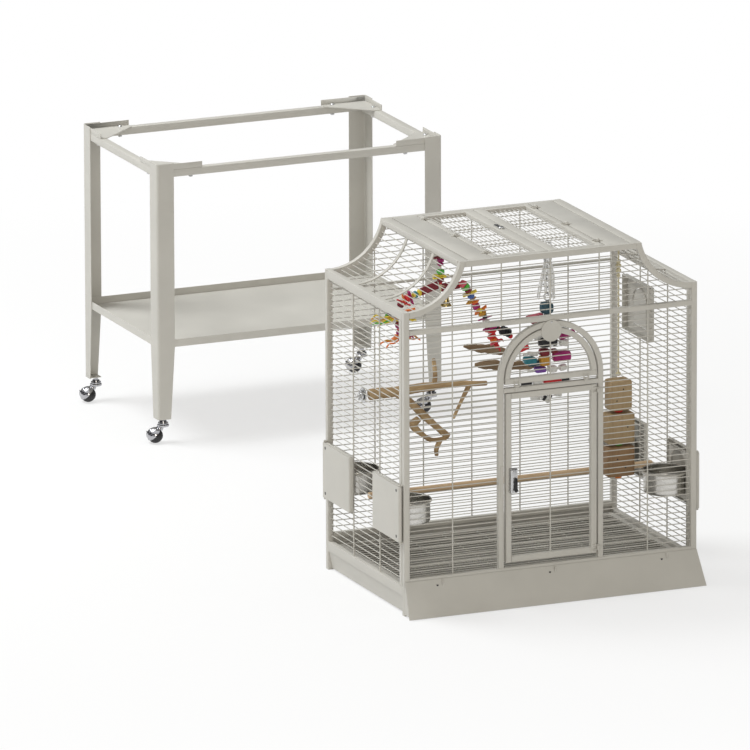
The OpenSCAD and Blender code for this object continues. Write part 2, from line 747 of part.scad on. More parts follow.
module front_grille() color(coat) placed() {
    upper_rows(wire_c, upright_c);
    both_sides() {
        for (z = rows(front_rail_top, mid_rail_z)) wire_x(tube, mid_x - arch_half(z) - 0.05, wire_c, z);
        for (x = bays(cage_w, front_bays))
            if (x < mid_x - arch_r - upright_d) wire_z(x, upright_c, front_rail_top, mid_rail_z);
    }
}

module back_grille() color(coat) placed() {
    y = cage_d - wire_c;
    y_up = cage_d - upright_c;
    upper_rows(y, y_up);
    for (z = rows(front_rail_top, mid_rail_z)) wire_x(tube, cage_w - tube, y, z);
    for (x = bays(cage_w, front_bays)) wire_z(x, y_up, front_rail_top, mid_rail_z + mid_rail_h / 4);
}

// A side's rows stop at the feeder openings, and on the right at the nest plate
function in_feeder(z) = z > feeder_z + 4 && z < feeder_top - 4;
function in_nest(z) = z > nest_z - wire_d && z < nest_z + nest_h + wire_d;
module side_grille(nest) {
    clear = upright_d / 2 + 1;
    for (z = rows(side_rail_top, shoulder_z)) {
        y0 = in_feeder(z) ? side_bay - clear : panel_in;
        y1 = in_feeder(z) ? 2 * side_bay + clear : cage_d - tube;
        if (nest && in_nest(z)) {
            wire_y(y0, nest_y, wire_c, z);
            wire_y(nest_y + nest_w, y1, wire_c, z);
        } else wire_y(y0, y1, wire_c, z);
    }
    for (i = [1:side_bays - 1]) {
        behind_nest = nest && i * side_bay > nest_y && i * side_bay < nest_y + nest_w;
        wire_z(upright_c, i * side_bay, side_rail_top, behind_nest ? nest_z : shoulder_z);
        if (behind_nest) wire_z(upright_c, i * side_bay, nest_z + nest_h, shoulder_z);
    }
}
module left_grille() color(coat) placed() side_grille(false);
module right_grille() color(coat) placed() mirrored() side_grille(true);

// Wires along the depth, laid under two bent flat bars on each cove
module cove_grille() {
    for (i = [0:cove_n]) wire_y(tube, cage_d - tube, cove_wire(i)[0], cove_wire(i)[1]);
    for (i = [1:side_bays - 1]) difference() {
        bend(cove_x, cove_z, cove_bar_r, bar_t, i * side_bay - bar_w / 2, bar_w, cove_from, cove_to);
        translate([-tube, i * side_bay - bar_w, shoulder_z]) cube([2 * tube, 2 * bar_w, 3 * tube]);
        translate([0, i * side_bay - bar_w, roof_rail_z]) cube([2 * roof_inset, 2 * bar_w, 3 * tube]);
    }
}
module cove_grilles() color(coat) placed() both_sides() cove_grille();

// ---- Base, tray and grate ----

// Sloped skirts under the side rails with the tray's runners, and a straight one at the back
module base_skirts() color(coat) placed() {
    foot = 2 * floor_gap;
    runner_top = tray_z - slide_gap;
    lean = 8;
    both_sides() translate([0, cage_d - tube, 0]) rotate([90, 0, 0]) linear_extrude(cage_d - 2 * tube) {
        polygon([[2, side_rail_z], [2 + sheet, side_rail_z], [2 + lean + sheet, foot], [2 + lean, foot]]);
        translate([lean, runner_top - sheet]) square([tray_x0 + lean, sheet]);
    }
    translate([tube, cage_d - sheet - 4, foot]) cube([cage_w - 2 * tube, sheet, front_rail_z - foot]);
}

// The tray: a shallow pan with its rim turned out for the grate
module tray_pan() color(coat) placed() difference() {
    translate([tray_x0, tray_y0, tray_z]) cube([tray_x1 - tray_x0, tray_y1 - tray_y0, tray_rim_z - tray_z]);
    translate([tray_x0 + sheet, tray_y0 + sheet, tray_z + sheet])
        cube([tray_x1 - tray_x0 - 2 * sheet, tray_y1 - tray_y0 - 2 * sheet, tray_rim_z]);
}

// The flared front apron with its end cheeks, its back flange and three finger hooks
module tray_apron() color(coat) placed() {
    top = front_rail_z - 0.5;
    slope = apron_flare / (top - apron_foot);
    lip = 6;
    hook_drop = 7;
    difference() {
        strip_x(-apron_side, cage_w + apron_side, [
            [-apron_back, top], [-apron_back - sheet, top],
            [-apron_back - sheet - apron_flare, apron_foot], [-apron_back - apron_flare, apron_foot]
        ]);
        both_sides() apron_end_cut();
    }
    strip_x(tray_x0, tray_x1, [
        [-apron_back - slope * (top - tray_rim_z) - sheet / 2, tray_rim_z], [tray_y0, tray_rim_z],
        [tray_y0, tray_z + 4], [tray_y0 - sheet, tray_z + 4], [tray_y0 - sheet, tray_rim_z - sheet],
        [-apron_back - slope * (top - tray_rim_z + sheet) - sheet / 2, tray_rim_z - sheet]
    ]);
    both_sides() strip_x(0, sheet, [
        [-apron_back - sheet / 2, top - lip],
        [-apron_back - sheet / 2 - apron_flare * 0.95, apron_foot + lip / 2],
        [-apron_back, apron_foot + lip / 2]
    ]);
    for (x = hook_x)
        translate([x, -apron_back - sheet - slope * hook_drop - hook_wire_d / 2, top - hook_drop])
            finger_hook();
}
// Trims the apron's end so that it leans out from the post to the foot
module apron_end_cut() translate([0, -apron_back - 2 * sheet, 0]) rotate([90, 0, 0])
    translate([0, 0, -4 * sheet]) linear_extrude(2 * apron_flare)
        polygon([[0, front_rail_z], [-apron_side, 0], [-3 * apron_side, 0],
            [-3 * apron_side, front_rail_z]]);
// A hook of bent wire that opens to the left
module finger_hook() {
    wire_z(hook_r + hook_wire_d / 2, 0, -hook_r, 4, hook_wire_d);
    translate([0, 0, -hook_r]) rotate([90, 0, 0]) rotate([0, 0, 180])
        rotate_extrude(angle = 180, $fn = curve_n)
            translate([hook_r + hook_wire_d / 2, 0]) circle(d = hook_wire_d, $fn = wire_n);
    wire_y(0, hook_wire_d, hook_r + hook_wire_d / 2, 2, hook_wire_d);
}

// The floor grate: a border strip with rods along the width over cross rods
module floor_grate() color(coat) placed() {
    rod_z = tray_rim_z + grate_h - grate_rod_d / 2;
    cross_z = rod_z - grate_rod_d - weld_gap;
    x1 = cage_w - grate_x0;
    difference() {
        translate([grate_x0, grate_y0, tray_rim_z]) cube([x1 - grate_x0, grate_y1 - grate_y0, grate_h]);
        translate([grate_x0 + grate_border, grate_y0 + grate_border, tray_rim_z - 1])
            cube([x1 - grate_x0 - 2 * grate_border, grate_y1 - grate_y0 - 2 * grate_border, grate_h + 2]);
    }
    for (y = rows(grate_y0 + grate_border, grate_y1 - grate_border, grate_pitch))
        wire_x(grate_x0 + grate_border, x1 - grate_border, y, rod_z, grate_rod_d);
    for (i = [1:grate_cross_n])
        wire_y(grate_y0 + grate_border, grate_y1 - grate_border,
            grate_x0 + (x1 - grate_x0) * i / (grate_cross_n + 1), cross_z, grate_rod_d - 1);
}

// ---- Hinges' fixed halves ----

module feeder_lugs() {
    for (z = [feeder_z - 4.5, feeder_top + 0.5]) translate([0, -3, z])
        cube([pin_u + feeder_pin_r + 1, 6, 4]);
    translate([pin_u, 0, feeder_z - 4.5]) cylinder(r = feeder_pin_r, h = feeder_h + 9, $fn = curve_n);
}
// A piece on the outside of a side wall, at its front or back end: u is X and v is Y
module at_feeder(right, back) translate([right * cage_w, back * cage_d, 0])
    mirror([1 - right, 0, 0]) mirror([0, back, 0]) translate([0, feeder_y, 0]) children();

module hinge_rings() color(coat) placed() {
    at_door_hinges() hinge_ring();
    at_window_hinges() hinge_ring();
    both_sides() at_roof_hinges() hinge_ring();
    at_nest_hinges() hinge_ring();
    for (right = [0, 1], back = [0, 1]) at_feeder(right, back) feeder_lugs();
}

// ---- Door ----

module door_frame() color(coat) placed() {
    for (x = [door_x0, door_x1 - tube]) tube_z(x, 0, door_z, door_top);
    for (z = [door_z, door_top - tube]) tube_x(door_x0 + tube, door_x1 - tube, 0, z);
    at_door_hinges() hinge_pin();
}
module door_grille() color(coat) placed() {
    for (z = rows(door_z + tube, door_top - tube)) wire_x(door_x0 + tube, door_x1 - tube, wire_c, z);
    wire_z(mid_x, upright_c, door_z + tube, door_top - tube);
}

// The latch's case, open at the back, with a bore for the lever's shaft
module latch_case() color(steel) placed() difference() {
    union() {
        translate([latch_x, 0, latch_z]) rotate([90, 0, 0]) linear_extrude(latch_t)
            polygon(round_rect(latch_w, latch_h, 3));
        translate([lever_x, 0, lever_z]) rotate([90, 0, 0])
            cylinder(r = shaft_r * 2, h = latch_t + 2, $fn = curve_n);
    }
    translate([lever_x, 1, lever_z]) rotate([90, 0, 0])
        cylinder(r = shaft_r + pin_gap, h = latch_t + 4, $fn = curve_n);
}

// An oblong lever with round ends, hanging from its pivot
module oblong(l, w, t, y) translate([0, y, 0]) rotate([90, 0, 0]) linear_extrude(t) {
    circle(d = w, $fn = curve_n);
    translate([0, -l + w]) circle(d = w, $fn = curve_n);
    translate([-w / 2, -l + w]) square([w, l - w]);
}
module latch_lever() color(dark) placed() translate([lever_x, 0, lever_z]) {
    front = -latch_t - 2 - slide_gap;
    oblong(lever_l, lever_w, lever_t, front);
    translate([0, front - lever_t / 2, -lever_l + lever_w]) sphere(r = lever_w / 2 + 1, $fn = curve_n);
    oblong(cam_l, lever_w - 1, cam_t, tube + 1 + cam_t);
    translate([0, tube + 2, 0]) rotate([90, 0, 0])
        cylinder(r = shaft_r, h = tube + 2 - front + 1, $fn = curve_n);
}

// ---- Window ----

module window_frame() color(coat) placed() {
    difference() {
        bend(mid_x, arch_z, window_in, window_tube, 0, tube, 0, 180);
        translate([0, -1, 0]) cube([cage_w, tube + 2, sill_top]);
        translate([mid_x, tube + 1, disc_z]) rotate([90, 0, 0])
            cylinder(r = shaft_r + pin_gap, h = tube + 2, $fn = curve_n);
    }
    tube_x(mid_x - window_r, mid_x + window_r, 0, sill_z, tube, window_tube);
    at_window_hinges() hinge_pin();
}
module window_grille() color(coat) placed() {
    for (z = rows(sill_top, arch_z + window_in)) {
        half = sqrt(pow(window_in, 2) - pow(z + wire_d / 2 - arch_z, 2)) - 0.05;
        wire_x(mid_x - half, mid_x + half, wire_c, z);
    }
    wire_z(mid_x, upright_c, sill_top, arch_z + window_in - 0.05);
}

// The round catch turns on a shaft through the window's crown and carries a tongue behind it
module turn_catch() color(coat) placed() translate([mid_x, 0, disc_z]) {
    translate([0, -slide_gap, 0]) rotate([90, 0, 0]) cylinder(r = disc_r, h = disc_t, $fn = curve_n);
    translate([0, -slide_gap - disc_t, disc_r - 6]) sphere(r = 2.5, $fn = curve_n);
    translate([0, tube + 1, 0]) rotate([90, 0, 0])
        cylinder(r = shaft_r, h = tube + 1 + slide_gap + disc_t / 2, $fn = curve_n);
    oblong(tongue_l + lever_w / 2, lever_w, cam_t, tube + slide_gap + cam_t);
}

// ---- Roof doors ----

module roof_door() {
    x0 = roof_door_x0;
    x1 = roof_door_x1;
    tube_y(roof_door_y0, roof_door_y1, x0, roof_door_z, roof_tube, roof_door_h);
    tube_y(roof_door_y0, roof_door_y1, x1 - roof_mid_w, roof_door_z, roof_mid_w, roof_door_h);
    for (y = [roof_door_y0, roof_door_y1 - roof_tube])
        tube_x(x0 + roof_tube, x1 - roof_mid_w, y, roof_door_z, roof_tube, roof_door_h);
    for (x = rows(x0 + roof_tube, x1 - roof_mid_w, wire_pitch * 0.8))
        wire_y(roof_door_y0 + roof_tube, roof_door_y1 - roof_tube, x, roof_wire_z);
    for (y = [cage_d / 3, cage_d * 2 / 3])
        wire_x(x0 + roof_tube, x1 - roof_mid_w, y, roof_wire_z - wire_d / 2 - upright_d / 2 - weld_gap,
            upright_d);
    at_roof_hinges() hinge_pin();
}
module roof_door_left() color(coat) placed() roof_door();
module roof_door_right() color(coat) placed() mirrored() roof_door();

// A turn button on the left roof door; it swings over the right one
module roof_latch() color(steel) placed()
    translate([roof_door_x1 - roof_mid_w / 2, roof_latch_y, roof_h + slide_gap]) {
        cylinder(r = 7, h = 5, $fn = curve_n);
        linear_extrude(2) {
            translate([-5, 0]) square([10, roof_mid_w * 1.3]);
            translate([0, roof_mid_w * 1.3]) circle(r = 5, $fn = curve_n);
        }
    }

// ---- Feeders ----

// The outer pan, rolled round its pin, with the arched hood plate and the bowl's ring inside the wall
module feeder_door(right, back) color(coat) placed() at_feeder(right, back) {
    knuckle = feeder_knuckle_r;
    difference() {
        union() {
            translate([pin_u, 0, feeder_z]) cylinder(r = knuckle, h = feeder_h, $fn = curve_n);
            translate([feeder_t - sheet, 0, feeder_z]) cube([sheet, feeder_w, feeder_h]);
        }
        translate([pin_u, 0, feeder_z - 1])
            cylinder(r = feeder_pin_r + pin_gap, h = feeder_h + 2, $fn = curve_n);
    }
    translate([0, 0, feeder_z]) linear_extrude(sheet) feeder_flange();
    translate([0, 0, feeder_top - sheet]) linear_extrude(sheet) feeder_flange();
    translate([1, feeder_w - sheet, feeder_z + sheet])
        cube([feeder_t - 1 - sheet, sheet, feeder_h - 2 * sheet]);
    translate([hood_u + sheet, hood_v0, hood_z1 - sheet])
        cube([feeder_t - sheet - hood_u - sheet, hood_v1 - hood_v0, sheet]);
    difference() {
        translate([hood_u, hood_v0, hood_z0]) cube([sheet, hood_v1 - hood_v0, hood_z1 - hood_z0]);
        translate([hood_u - 1, bowl_back, 0]) rotate([90, 0, 90]) linear_extrude(sheet + 2) {
            translate([0, bowl_z]) circle(r = bowl_hole_r, $fn = curve_n);
            translate([-bowl_hole_r, bowl_z - bowl_h - 4]) square([2 * bowl_hole_r, bowl_h + 4]);
        }
    }
    difference() {
        translate([-bowl_in, bowl_back, bowl_z - bowl_wall * 2 - bowl_ring_d / 2 - slide_gap])
            rotate_extrude($fn = curve_n) translate([bowl_r, 0]) circle(d = bowl_ring_d, $fn = wire_n);
        translate([hood_u, 0, feeder_z]) cube([4 * bowl_r, 4 * bowl_r, feeder_h]);
    }
}
module feeder_flange() polygon([
    [1, feeder_knuckle_r + 3], [feeder_t - sheet, feeder_knuckle_r + 3], [feeder_t - sheet, feeder_w],
    [1, feeder_w]
]);

module feeder_door_front_left() feeder_door(0, 0);
module feeder_door_front_right() feeder_door(1, 0);
module feeder_door_back_left() feeder_door(0, 1);
module feeder_door_back_right() feeder_door(1, 1);

// A stainless bowl: straight wall with rounded foot and a rolled lip that rests on the ring
module bowl(right, back) color(steel) placed() at_feeder(right, back)
    translate([-bowl_in, bowl_back, bowl_z])
    rotate_extrude($fn = curve_n) {
        wall_r = bowl_r - bowl_ring_d / 2 - 0.6;
        foot = 8;
        translate([wall_r - bowl_wall, -bowl_h + foot]) square([bowl_wall, bowl_h - foot]);
        translate([wall_r - foot, -bowl_h + foot]) difference() {
            circle(r = foot, $fn = curve_n);
            circle(r = foot - bowl_wall, $fn = curve_n);
            translate([-2 * foot, -2 * foot]) square([2 * foot, 4 * foot]);
            translate([-2 * foot, 0]) square([4 * foot, 2 * foot]);
        }
        translate([0, -bowl_h]) square([wall_r - foot, bowl_wall]);
        translate([wall_r - bowl_wall, -bowl_wall * 2])
            square([bowl_r - wall_r + bowl_wall, bowl_wall * 2]);
    }
module bowl_front_left() bowl(0, 0);
module bowl_front_right() bowl(1, 0);
module bowl_back_left() bowl(0, 1);
module bowl_back_right() bowl(1, 1);

// ---- Nest hatch ----

module arch_outline(r, z0, z1) {
    translate([0, z1 - r]) circle(r = r, $fn = curve_n);
    translate([-r, z0]) square([2 * r, z1 - r - z0]);
}
module on_nest_plate() placed() translate([cage_w - sheet, nest_y + nest_w / 2, nest_z]) rotate([90, 0, 90])
    children();
module nest_plate() color(coat) on_nest_plate() {
    linear_extrude(sheet) difference() {
        translate([-nest_w / 2, 0]) square([nest_w, nest_h]);
        arch_outline(nest_hole_r, 22, nest_h - 20);
    }
    translate([0, 0, sheet - tube]) linear_extrude(tube - sheet) difference() {
        translate([-nest_w / 2, 0]) square([nest_w, nest_h]);
        translate([-nest_w / 2 + sheet, sheet]) square([nest_w - 2 * sheet, nest_h - 2 * sheet]);
    }
}
module nest_flap() color(coat) {
    on_nest_plate() linear_extrude(sheet) arch_outline(nest_hole_r - 1.5, 22 + 1.5, nest_h - 20 - 1.5);
    placed() at_nest_hinges() hinge_pin();
}

// ---- Perches ----

module dowel_perch() color(wood) placed()
    wire_x(wire_in + weld_gap, cage_w - wire_in - weld_gap, cage_d / 2, dowel_z, dowel_d);

// The branch's washer, its bolt through the wires and the wing nut outside
module branch_clamp() color(steel) placed() translate([0, branch_y, branch_z]) rotate([0, 90, 0]) {
    translate([0, 0, branch_x]) cylinder(r = washer_r, h = washer_t, $fn = curve_n);
    translate([0, 0, -9]) cylinder(r = 3, h = branch_x + 10, $fn = curve_n);
    translate([0, 0, wire_c - wire_d / 2 - weld_gap - washer_t])
        cylinder(r = washer_r * 0.7, h = washer_t, $fn = curve_n);
    for (a = [0, 180]) rotate([0, 0, a]) translate([2, -1.5, wire_c - wire_d / 2 - washer_t - 6])
        cube([10, 3, 6]);
}

// Natural branch: each stick is a run of knots, given as place and radius
module stick(knots) for (i = [0:len(knots) - 2]) hull() for (k = [knots[i], knots[i + 1]])
    translate([k[0], k[1], k[2]]) sphere(r = k[3], $fn = hull_n);
branch_end_x = branch_x + washer_t + branch_r + slide_gap;
main_stick = [
    [branch_end_x, branch_y, branch_z, branch_r], [100, 276, 504, 13],
    [180, 266, 510, 12], [250, 258, 512, 9], [334, 250, 507, 6]
];
up_stick = [[196, 266, 508, 8], [198, 262, 540, 6], [193, 260, 582, 5]];
low_stick = [[100, 274, 500, 11], [130, 262, 476, 10], [169, 256, 435, 10], [228, 250, 380, 9]];
side_stick = [[150, 258, 432, 9], [135, 256, 418, 11], [152, 254, 398, 7], [182, 251, 376, 6],
    [222, 250, 376, 6]];
hook_stick = [[206, 250, 372, 7], [196, 250, 352, 6], [197, 250, 334, 5]];
twig_stick = [[286, 252, 505, 7], [262, 248, 466, 5], [240, 245, 427, 4]];
module branch_perch() color(wood) placed() {
    stick(main_stick);
    stick(up_stick);
    stick(low_stick);
    stick(side_stick);
    stick(hook_stick);
    stick(twig_stick);
}

// Two slabs of bark hung on the back wires: centre, half length, half height and slope
bark_t = 14;
slabs = [[441, 529, 69, 11, -13], [488, 482, 84, 12, -7]];
module bark_slabs() color([0.45, 0.36, 0.26]) placed()
    for (s = slabs) translate([s[0], cage_d - wire_in - weld_gap, s[1]]) rotate([90, 0, 0])
        rotate([0, 0, s[4]])
        linear_extrude(bark_t) polygon([
            for (a = [0:20:340]) [s[2] * cos(a) * (1 + 0.06 * sin(3 * a)),
                s[3] * sin(a) * (1 + 0.2 * cos(2 * a))]
        ]);

// ---- Toys ----

// A run of round links hanging down from a height, each turned a quarter from the last
module links(n) for (i = [0:n - 1]) translate([0, 0, -link_r - link_d / 2 - i * link_step])
    rotate([90, 0, i % 2 * 90])
    rotate_extrude($fn = curve_n) translate([link_r, 0]) circle(d = link_d, $fn = wire_n);
function links_l(n) = 2 * link_r + link_d + (n - 1) * link_step;

module block(s, h) linear_extrude(h) translate([-s / 2, -s / 2]) polygon(round_rect(s, s, s * 0.2));

block_links = 9;
// Each block's place: columns to the side and rows down
block_drops = [
    [0, 0], [-1, 1], [0, 1], [0, 2], [1, 2], [-1, 3], [0, 3], [1, 3], [2, 3],
    [-2, 4], [-1, 4], [0, 4], [1, 4], [2, 4], [-2, 5], [-1, 5], [0, 5], [1, 5], [-1, 6], [0, 6], [1, 6],
    [0, 7]
];
module block_toy() color([0.1, 0.5, 0.5]) placed() translate([block_toy_x, block_toy_y, toy_hang_z]) {
    top = -links_l(block_links) - slide_gap;
    links(block_links);
    for (p = block_drops) translate([p[0] * block_s * 0.8, 0, top - (p[1] + 1) * block_s])
        block(p[1] == 0 ? block_s : block_s * 0.8, block_s - 0.2);
}

// Three blocks on a rope that hangs by a wire eye from one of the right cove's wires
wood_eye_r = wire_d + slide_gap;
module wood_toy() color([0.6, 0.4, 0.25]) placed()
    translate([cage_w - cove_wire(wood_wire)[0], wood_toy_y, cove_wire(wood_wire)[1]]) {
        gap = wood_block_h * 0.1;
        rotate([90, 0, 0]) rotate_extrude($fn = curve_n) translate([wood_eye_r, 0])
            circle(d = wire_d, $fn = wire_n);
        translate([0, 0, -wood_rope_l - gap])
            cylinder(r = 3, h = wood_rope_l + gap - wood_eye_r, $fn = wire_n);
        for (i = [0:2]) translate([0, 0, -wood_rope_l - (i + 1) * (wood_block_h + gap)]) {
            w = wood_block_l * (i == 0 ? 0.8 : 1);
            translate([-w / 2, -wood_block_d / 2, 0]) linear_extrude(wood_block_h)
                polygon(round_rect(w, wood_block_d, 6));
            if (i < 2) translate([0, 0, -gap]) cylinder(r = 12, h = gap, $fn = curve_n);
        }
    }

// A rope strung with beads and slats, hung from the roof's left plate; its knots drop below the roof
rope_y = cage_d / 2;
rope_hang = 4;
rope_knots = [
    for (k = [
        [350, 256], [318, 206], [300, 161], [251, 130], [208, 124], [150, 134],
        [105, 158], [60, 184], [35, 208], [42, 231], [75, 236], [112, 228]
    ]) [k[0], rope_y, roof_h - k[1], 8]
];
module rope_toy() color([0.8, 0.1, 0.2]) placed() {
    stick(rope_knots);
    stick([[rope_knots[rope_hang][0], rope_y, rope_knots[rope_hang][2], 3],
        [rope_knots[rope_hang][0], rope_y, roof_h - roof_plate_t - 3, 3]]);
}

stand_leg_front_left();
stand_leg_front_right();
stand_leg_back_left();
stand_leg_back_right();
stand_rails();
corner_gussets();
gusset_bolts();
shelf_tray();
caster_stems();
caster_hood_front_left();
caster_hood_front_right();
caster_hood_back_left();
caster_hood_back_right();
caster_wheel_front_left();
caster_wheel_front_right();
caster_wheel_back_left();
caster_wheel_back_right();
front_frame();
back_frame();
side_frames();
cove_tubes();
roof_frame();
arch_frame();
front_grille();
back_grille();
left_grille();
right_grille();
cove_grilles();
base_skirts();
tray_pan();
tray_apron();
floor_grate();
hinge_rings();
door_frame();
door_grille();
latch_case();
latch_lever();
window_frame();
window_grille();
turn_catch();
roof_door_left();
roof_door_right();
roof_latch();
feeder_door_front_left();
feeder_door_front_right();
feeder_door_back_left();
feeder_door_back_right();
bowl_front_left();
bowl_front_right();
bowl_back_left();
bowl_back_right();
nest_plate();
nest_flap();
dowel_perch();
branch_clamp();
branch_perch();
bark_slabs();
block_toy();
wood_toy();
rope_toy();
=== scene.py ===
"""Looks of a wire bird cage and its rolling stand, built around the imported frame."""
import random
from contextlib import contextmanager
from math import acos, asin, atan2, copysign, cos, degrees, floor, hypot, pi, radians, sin, sqrt

import bmesh
import bpy
from mathutils import Matrix, Vector


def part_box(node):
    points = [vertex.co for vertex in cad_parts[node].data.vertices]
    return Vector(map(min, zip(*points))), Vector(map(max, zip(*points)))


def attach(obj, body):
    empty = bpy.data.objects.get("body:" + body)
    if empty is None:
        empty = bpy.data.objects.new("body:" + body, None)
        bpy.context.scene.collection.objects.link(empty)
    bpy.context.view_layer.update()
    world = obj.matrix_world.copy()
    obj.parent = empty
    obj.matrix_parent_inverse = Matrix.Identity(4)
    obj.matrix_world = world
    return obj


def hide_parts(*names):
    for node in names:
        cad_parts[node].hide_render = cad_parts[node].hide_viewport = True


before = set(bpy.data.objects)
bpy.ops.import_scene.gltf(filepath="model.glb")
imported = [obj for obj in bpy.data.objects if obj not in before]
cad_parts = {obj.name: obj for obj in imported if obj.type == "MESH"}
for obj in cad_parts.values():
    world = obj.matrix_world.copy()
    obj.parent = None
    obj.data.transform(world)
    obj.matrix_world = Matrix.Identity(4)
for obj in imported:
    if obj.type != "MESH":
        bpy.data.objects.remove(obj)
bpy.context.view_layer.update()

# ---- Sizes in mm, from the cage's front left corner or the stand's ----

CAGE_W, CAGE_D, SHOULDER_H, ROOF_H = 800, 500, 780, 896
MID_X = CAGE_W / 2
TUBE, EDGE, SHEET = 15, 1.6, 1.5
MID_TOP, MID_H = 733, 13
SHOULDER_RAIL = 23
COVE_R, COVE_INSET, COVE_WIRES = 147, 153, 11
PITCH, WIRE, UPRIGHT, WELD_GAP = 15, 2.5, 3.5, 0.03
UPRIGHT_C, WIRE_C, WIRE_IN = 5.75, 8.78, 10.03
FRONT_RAIL, SIDE_RAIL, SIDE_RAIL_H = 80, 48, 26
ARCH_R, ARCH_TUBE, ARCH_Z = 143, 14, 577
WINDOW_R = ARCH_R - ARCH_TUBE - 4
WINDOW_IN = WINDOW_R - 14
SILL, SILL_H, CROSSBAR, CROSSBAR_H = 567, 14, 546, 12
DOOR_X0, DOOR_X1, DOOR_Z0, DOOR_Z1 = 277, 525, 108, 544
RING_R, PIN_R = 3.65, 2
LATCH_X, LATCH_Z, LATCH_W, LATCH_H, LATCH_T = 284, 288, 21, 64, 11
DISC_Z, DISC_R = 695, 28
ROOF_DOOR, ROOF_DOOR_H, ROOF_STILE = (248, 399, 17, 483), 12, 27
TRAY_X0, TRAY_Y0, TRAY_Y1, TRAY_Z, TRAY_RIM = 19, 0.3, 480, 18, 60
APRON_FLARE, APRON_SIDE = 45, 7
FEEDER_Y, FEEDER_Z, FEEDER_H, FEEDER_W, FEEDER_T, FEEDER_AXIS = 12, 190, 143, 166, 12, 7
BOWL_R, BOWL_H, BOWL_Z, BOWL_IN, BOWL_BACK = 57.5, 60, 280, 48, 74
NEST_Y, NEST_W, NEST_Z, NEST_H, NEST_R = 261, 164, 562, 141, 42
STAND_W, STAND_D, LEG_TOP, LEG_FOOT, LEG_KINK = 808, 508, 751, 65, 260
LEG_W, LEG_T, LEG_R = 48, 2, 7
RAIL_TOP, RAIL_S = 734, 20
SHELF_Z, SHELF_LIP = 258, 20
BALL_R, TRAIL, STEM_IN, HOOD_RIM = 20, 22, 22, 15
ROOT = "cage_and_stand"
CORNERS = (("front_left", 0, 0), ("front_right", 1, 0), ("back_left", 0, 1), ("back_right", 1, 1))
# A span of X on the left side as it is, and mirrored onto the right side
SIDES = (lambda a, b: (a, b)), (lambda a, b: (CAGE_W - b, CAGE_W - a))

cage_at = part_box("front_frame")[0]
stand_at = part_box("stand_leg_front_left")[0]
stand_at.z = 0

# The cove's centre and the radius of its tube's underside
chord = hypot(COVE_INSET, ROOF_H - SHOULDER_H)
rise = sqrt(COVE_R**2 - (chord / 2) ** 2)
COVE_X = COVE_INSET / 2 - (ROOF_H - SHOULDER_H) / chord * rise
COVE_Z = (SHOULDER_H + ROOF_H) / 2 + COVE_INSET / chord * rise
COVE_UNDER = COVE_R + TUBE


def wire_x0(z):
    """Where a level wire starts at the left: at the post, or under the cove."""
    top = z + WIRE / 2
    if top < COVE_Z - COVE_UNDER:
        return TUBE
    return max(TUBE, COVE_X + sqrt(max(0, COVE_UNDER**2 - (COVE_Z - top) ** 2)))


def post_top(x):
    """Where an upright at x ends: under the cove or under the roof."""
    if x >= COVE_INSET + 6:
        return ROOF_H - TUBE
    return COVE_Z - sqrt(max(0, COVE_UNDER**2 - (x - UPRIGHT / 2 - COVE_X) ** 2))


def arch_half(z):
    """Half the arch's width at a level wire."""
    low = z - WIRE / 2
    return ARCH_R if low < ARCH_Z else sqrt(max(0, ARCH_R**2 - (low - ARCH_Z) ** 2))


def rows(z0, z1, pitch=PITCH):
    return [z0 + i * pitch for i in range(1, floor((z1 - z0) / pitch - 0.4) + 1)]


def at(place, *turns):
    """A place with turns about the axes, each an axis and its degrees, as one matrix."""
    matrix = Matrix.Translation(place)
    for axis, angle in turns:
        matrix = matrix @ Matrix.Rotation(radians(angle), 4, axis)
    return matrix


# ---- Materials ----

def add(tree, kind, inputs=None, **settings):
    """A node with its settings, and each input either set to a value or linked from a socket."""
    node = tree.nodes.new(kind)
    for key, value in settings.items():
        setattr(node, key, value)
    for key, value in (inputs or {}).items():
        if isinstance(value, bpy.types.NodeSocket):
            tree.links.new(value, node.inputs[key])
        else:
            node.inputs[key].default_value = value
    return node


def noise(tree, vector, scale, detail=3.0, rough=0.55, stretch=None):
    if stretch:
        vector = add(tree, "ShaderNodeMapping", {"Scale": stretch, "Vector": vector}).outputs["Vector"]
    grain = {"Scale": scale, "Detail": detail, "Roughness": rough, "Vector": vector}
    return add(tree, "ShaderNodeTexNoise", grain).outputs["Fac"]


def ramp(tree, fac, stops):
    node = add(tree, "ShaderNodeValToRGB", {"Fac": fac})
    elements = node.color_ramp.elements
    while len(elements) < len(stops):
        elements.new(0.5)
    for element, (place, color) in zip(elements, stops):
        element.position = place
        element.color = (*color, 1)
    return node.outputs["Color"]


def span(tree, value, low, high, from_low=0.3, from_high=0.7):
    limits = {"From Min": from_low, "From Max": from_high, "To Min": low, "To Max": high, "Value": value}
    return add(tree, "ShaderNodeMapRange", limits).outputs["Result"]


def shade(color, k):
    return [c * k for c in color]


class Surface:
    """A Principled material whose textures use the object's own coordinates."""

    def __init__(self, name):
        self.mat = bpy.data.materials.new(name)
        self.mat.use_nodes = True
        self.tree = self.mat.node_tree
        self.shader = self.tree.nodes["Principled BSDF"]
        self.where = add(self.tree, "ShaderNodeTexCoord").outputs["Object"]

    def noise(self, *values):
        return noise(self.tree, self.where, *values)

    def finish(self, tone, stops, rough, height, strength, depth):
        """Colour from a ramp, roughness from a span of the same kind, relief from a height."""
        links, inputs = self.tree.links, self.shader.inputs
        links.new(ramp(self.tree, tone, stops), inputs["Base Color"])
        links.new(span(self.tree, *rough), inputs["Roughness"])
        relief = add(self.tree, "ShaderNodeBump", {"Strength": strength, "Distance": depth, "Height": height})
        links.new(relief.outputs["Normal"], inputs["Normal"])
        return self.mat


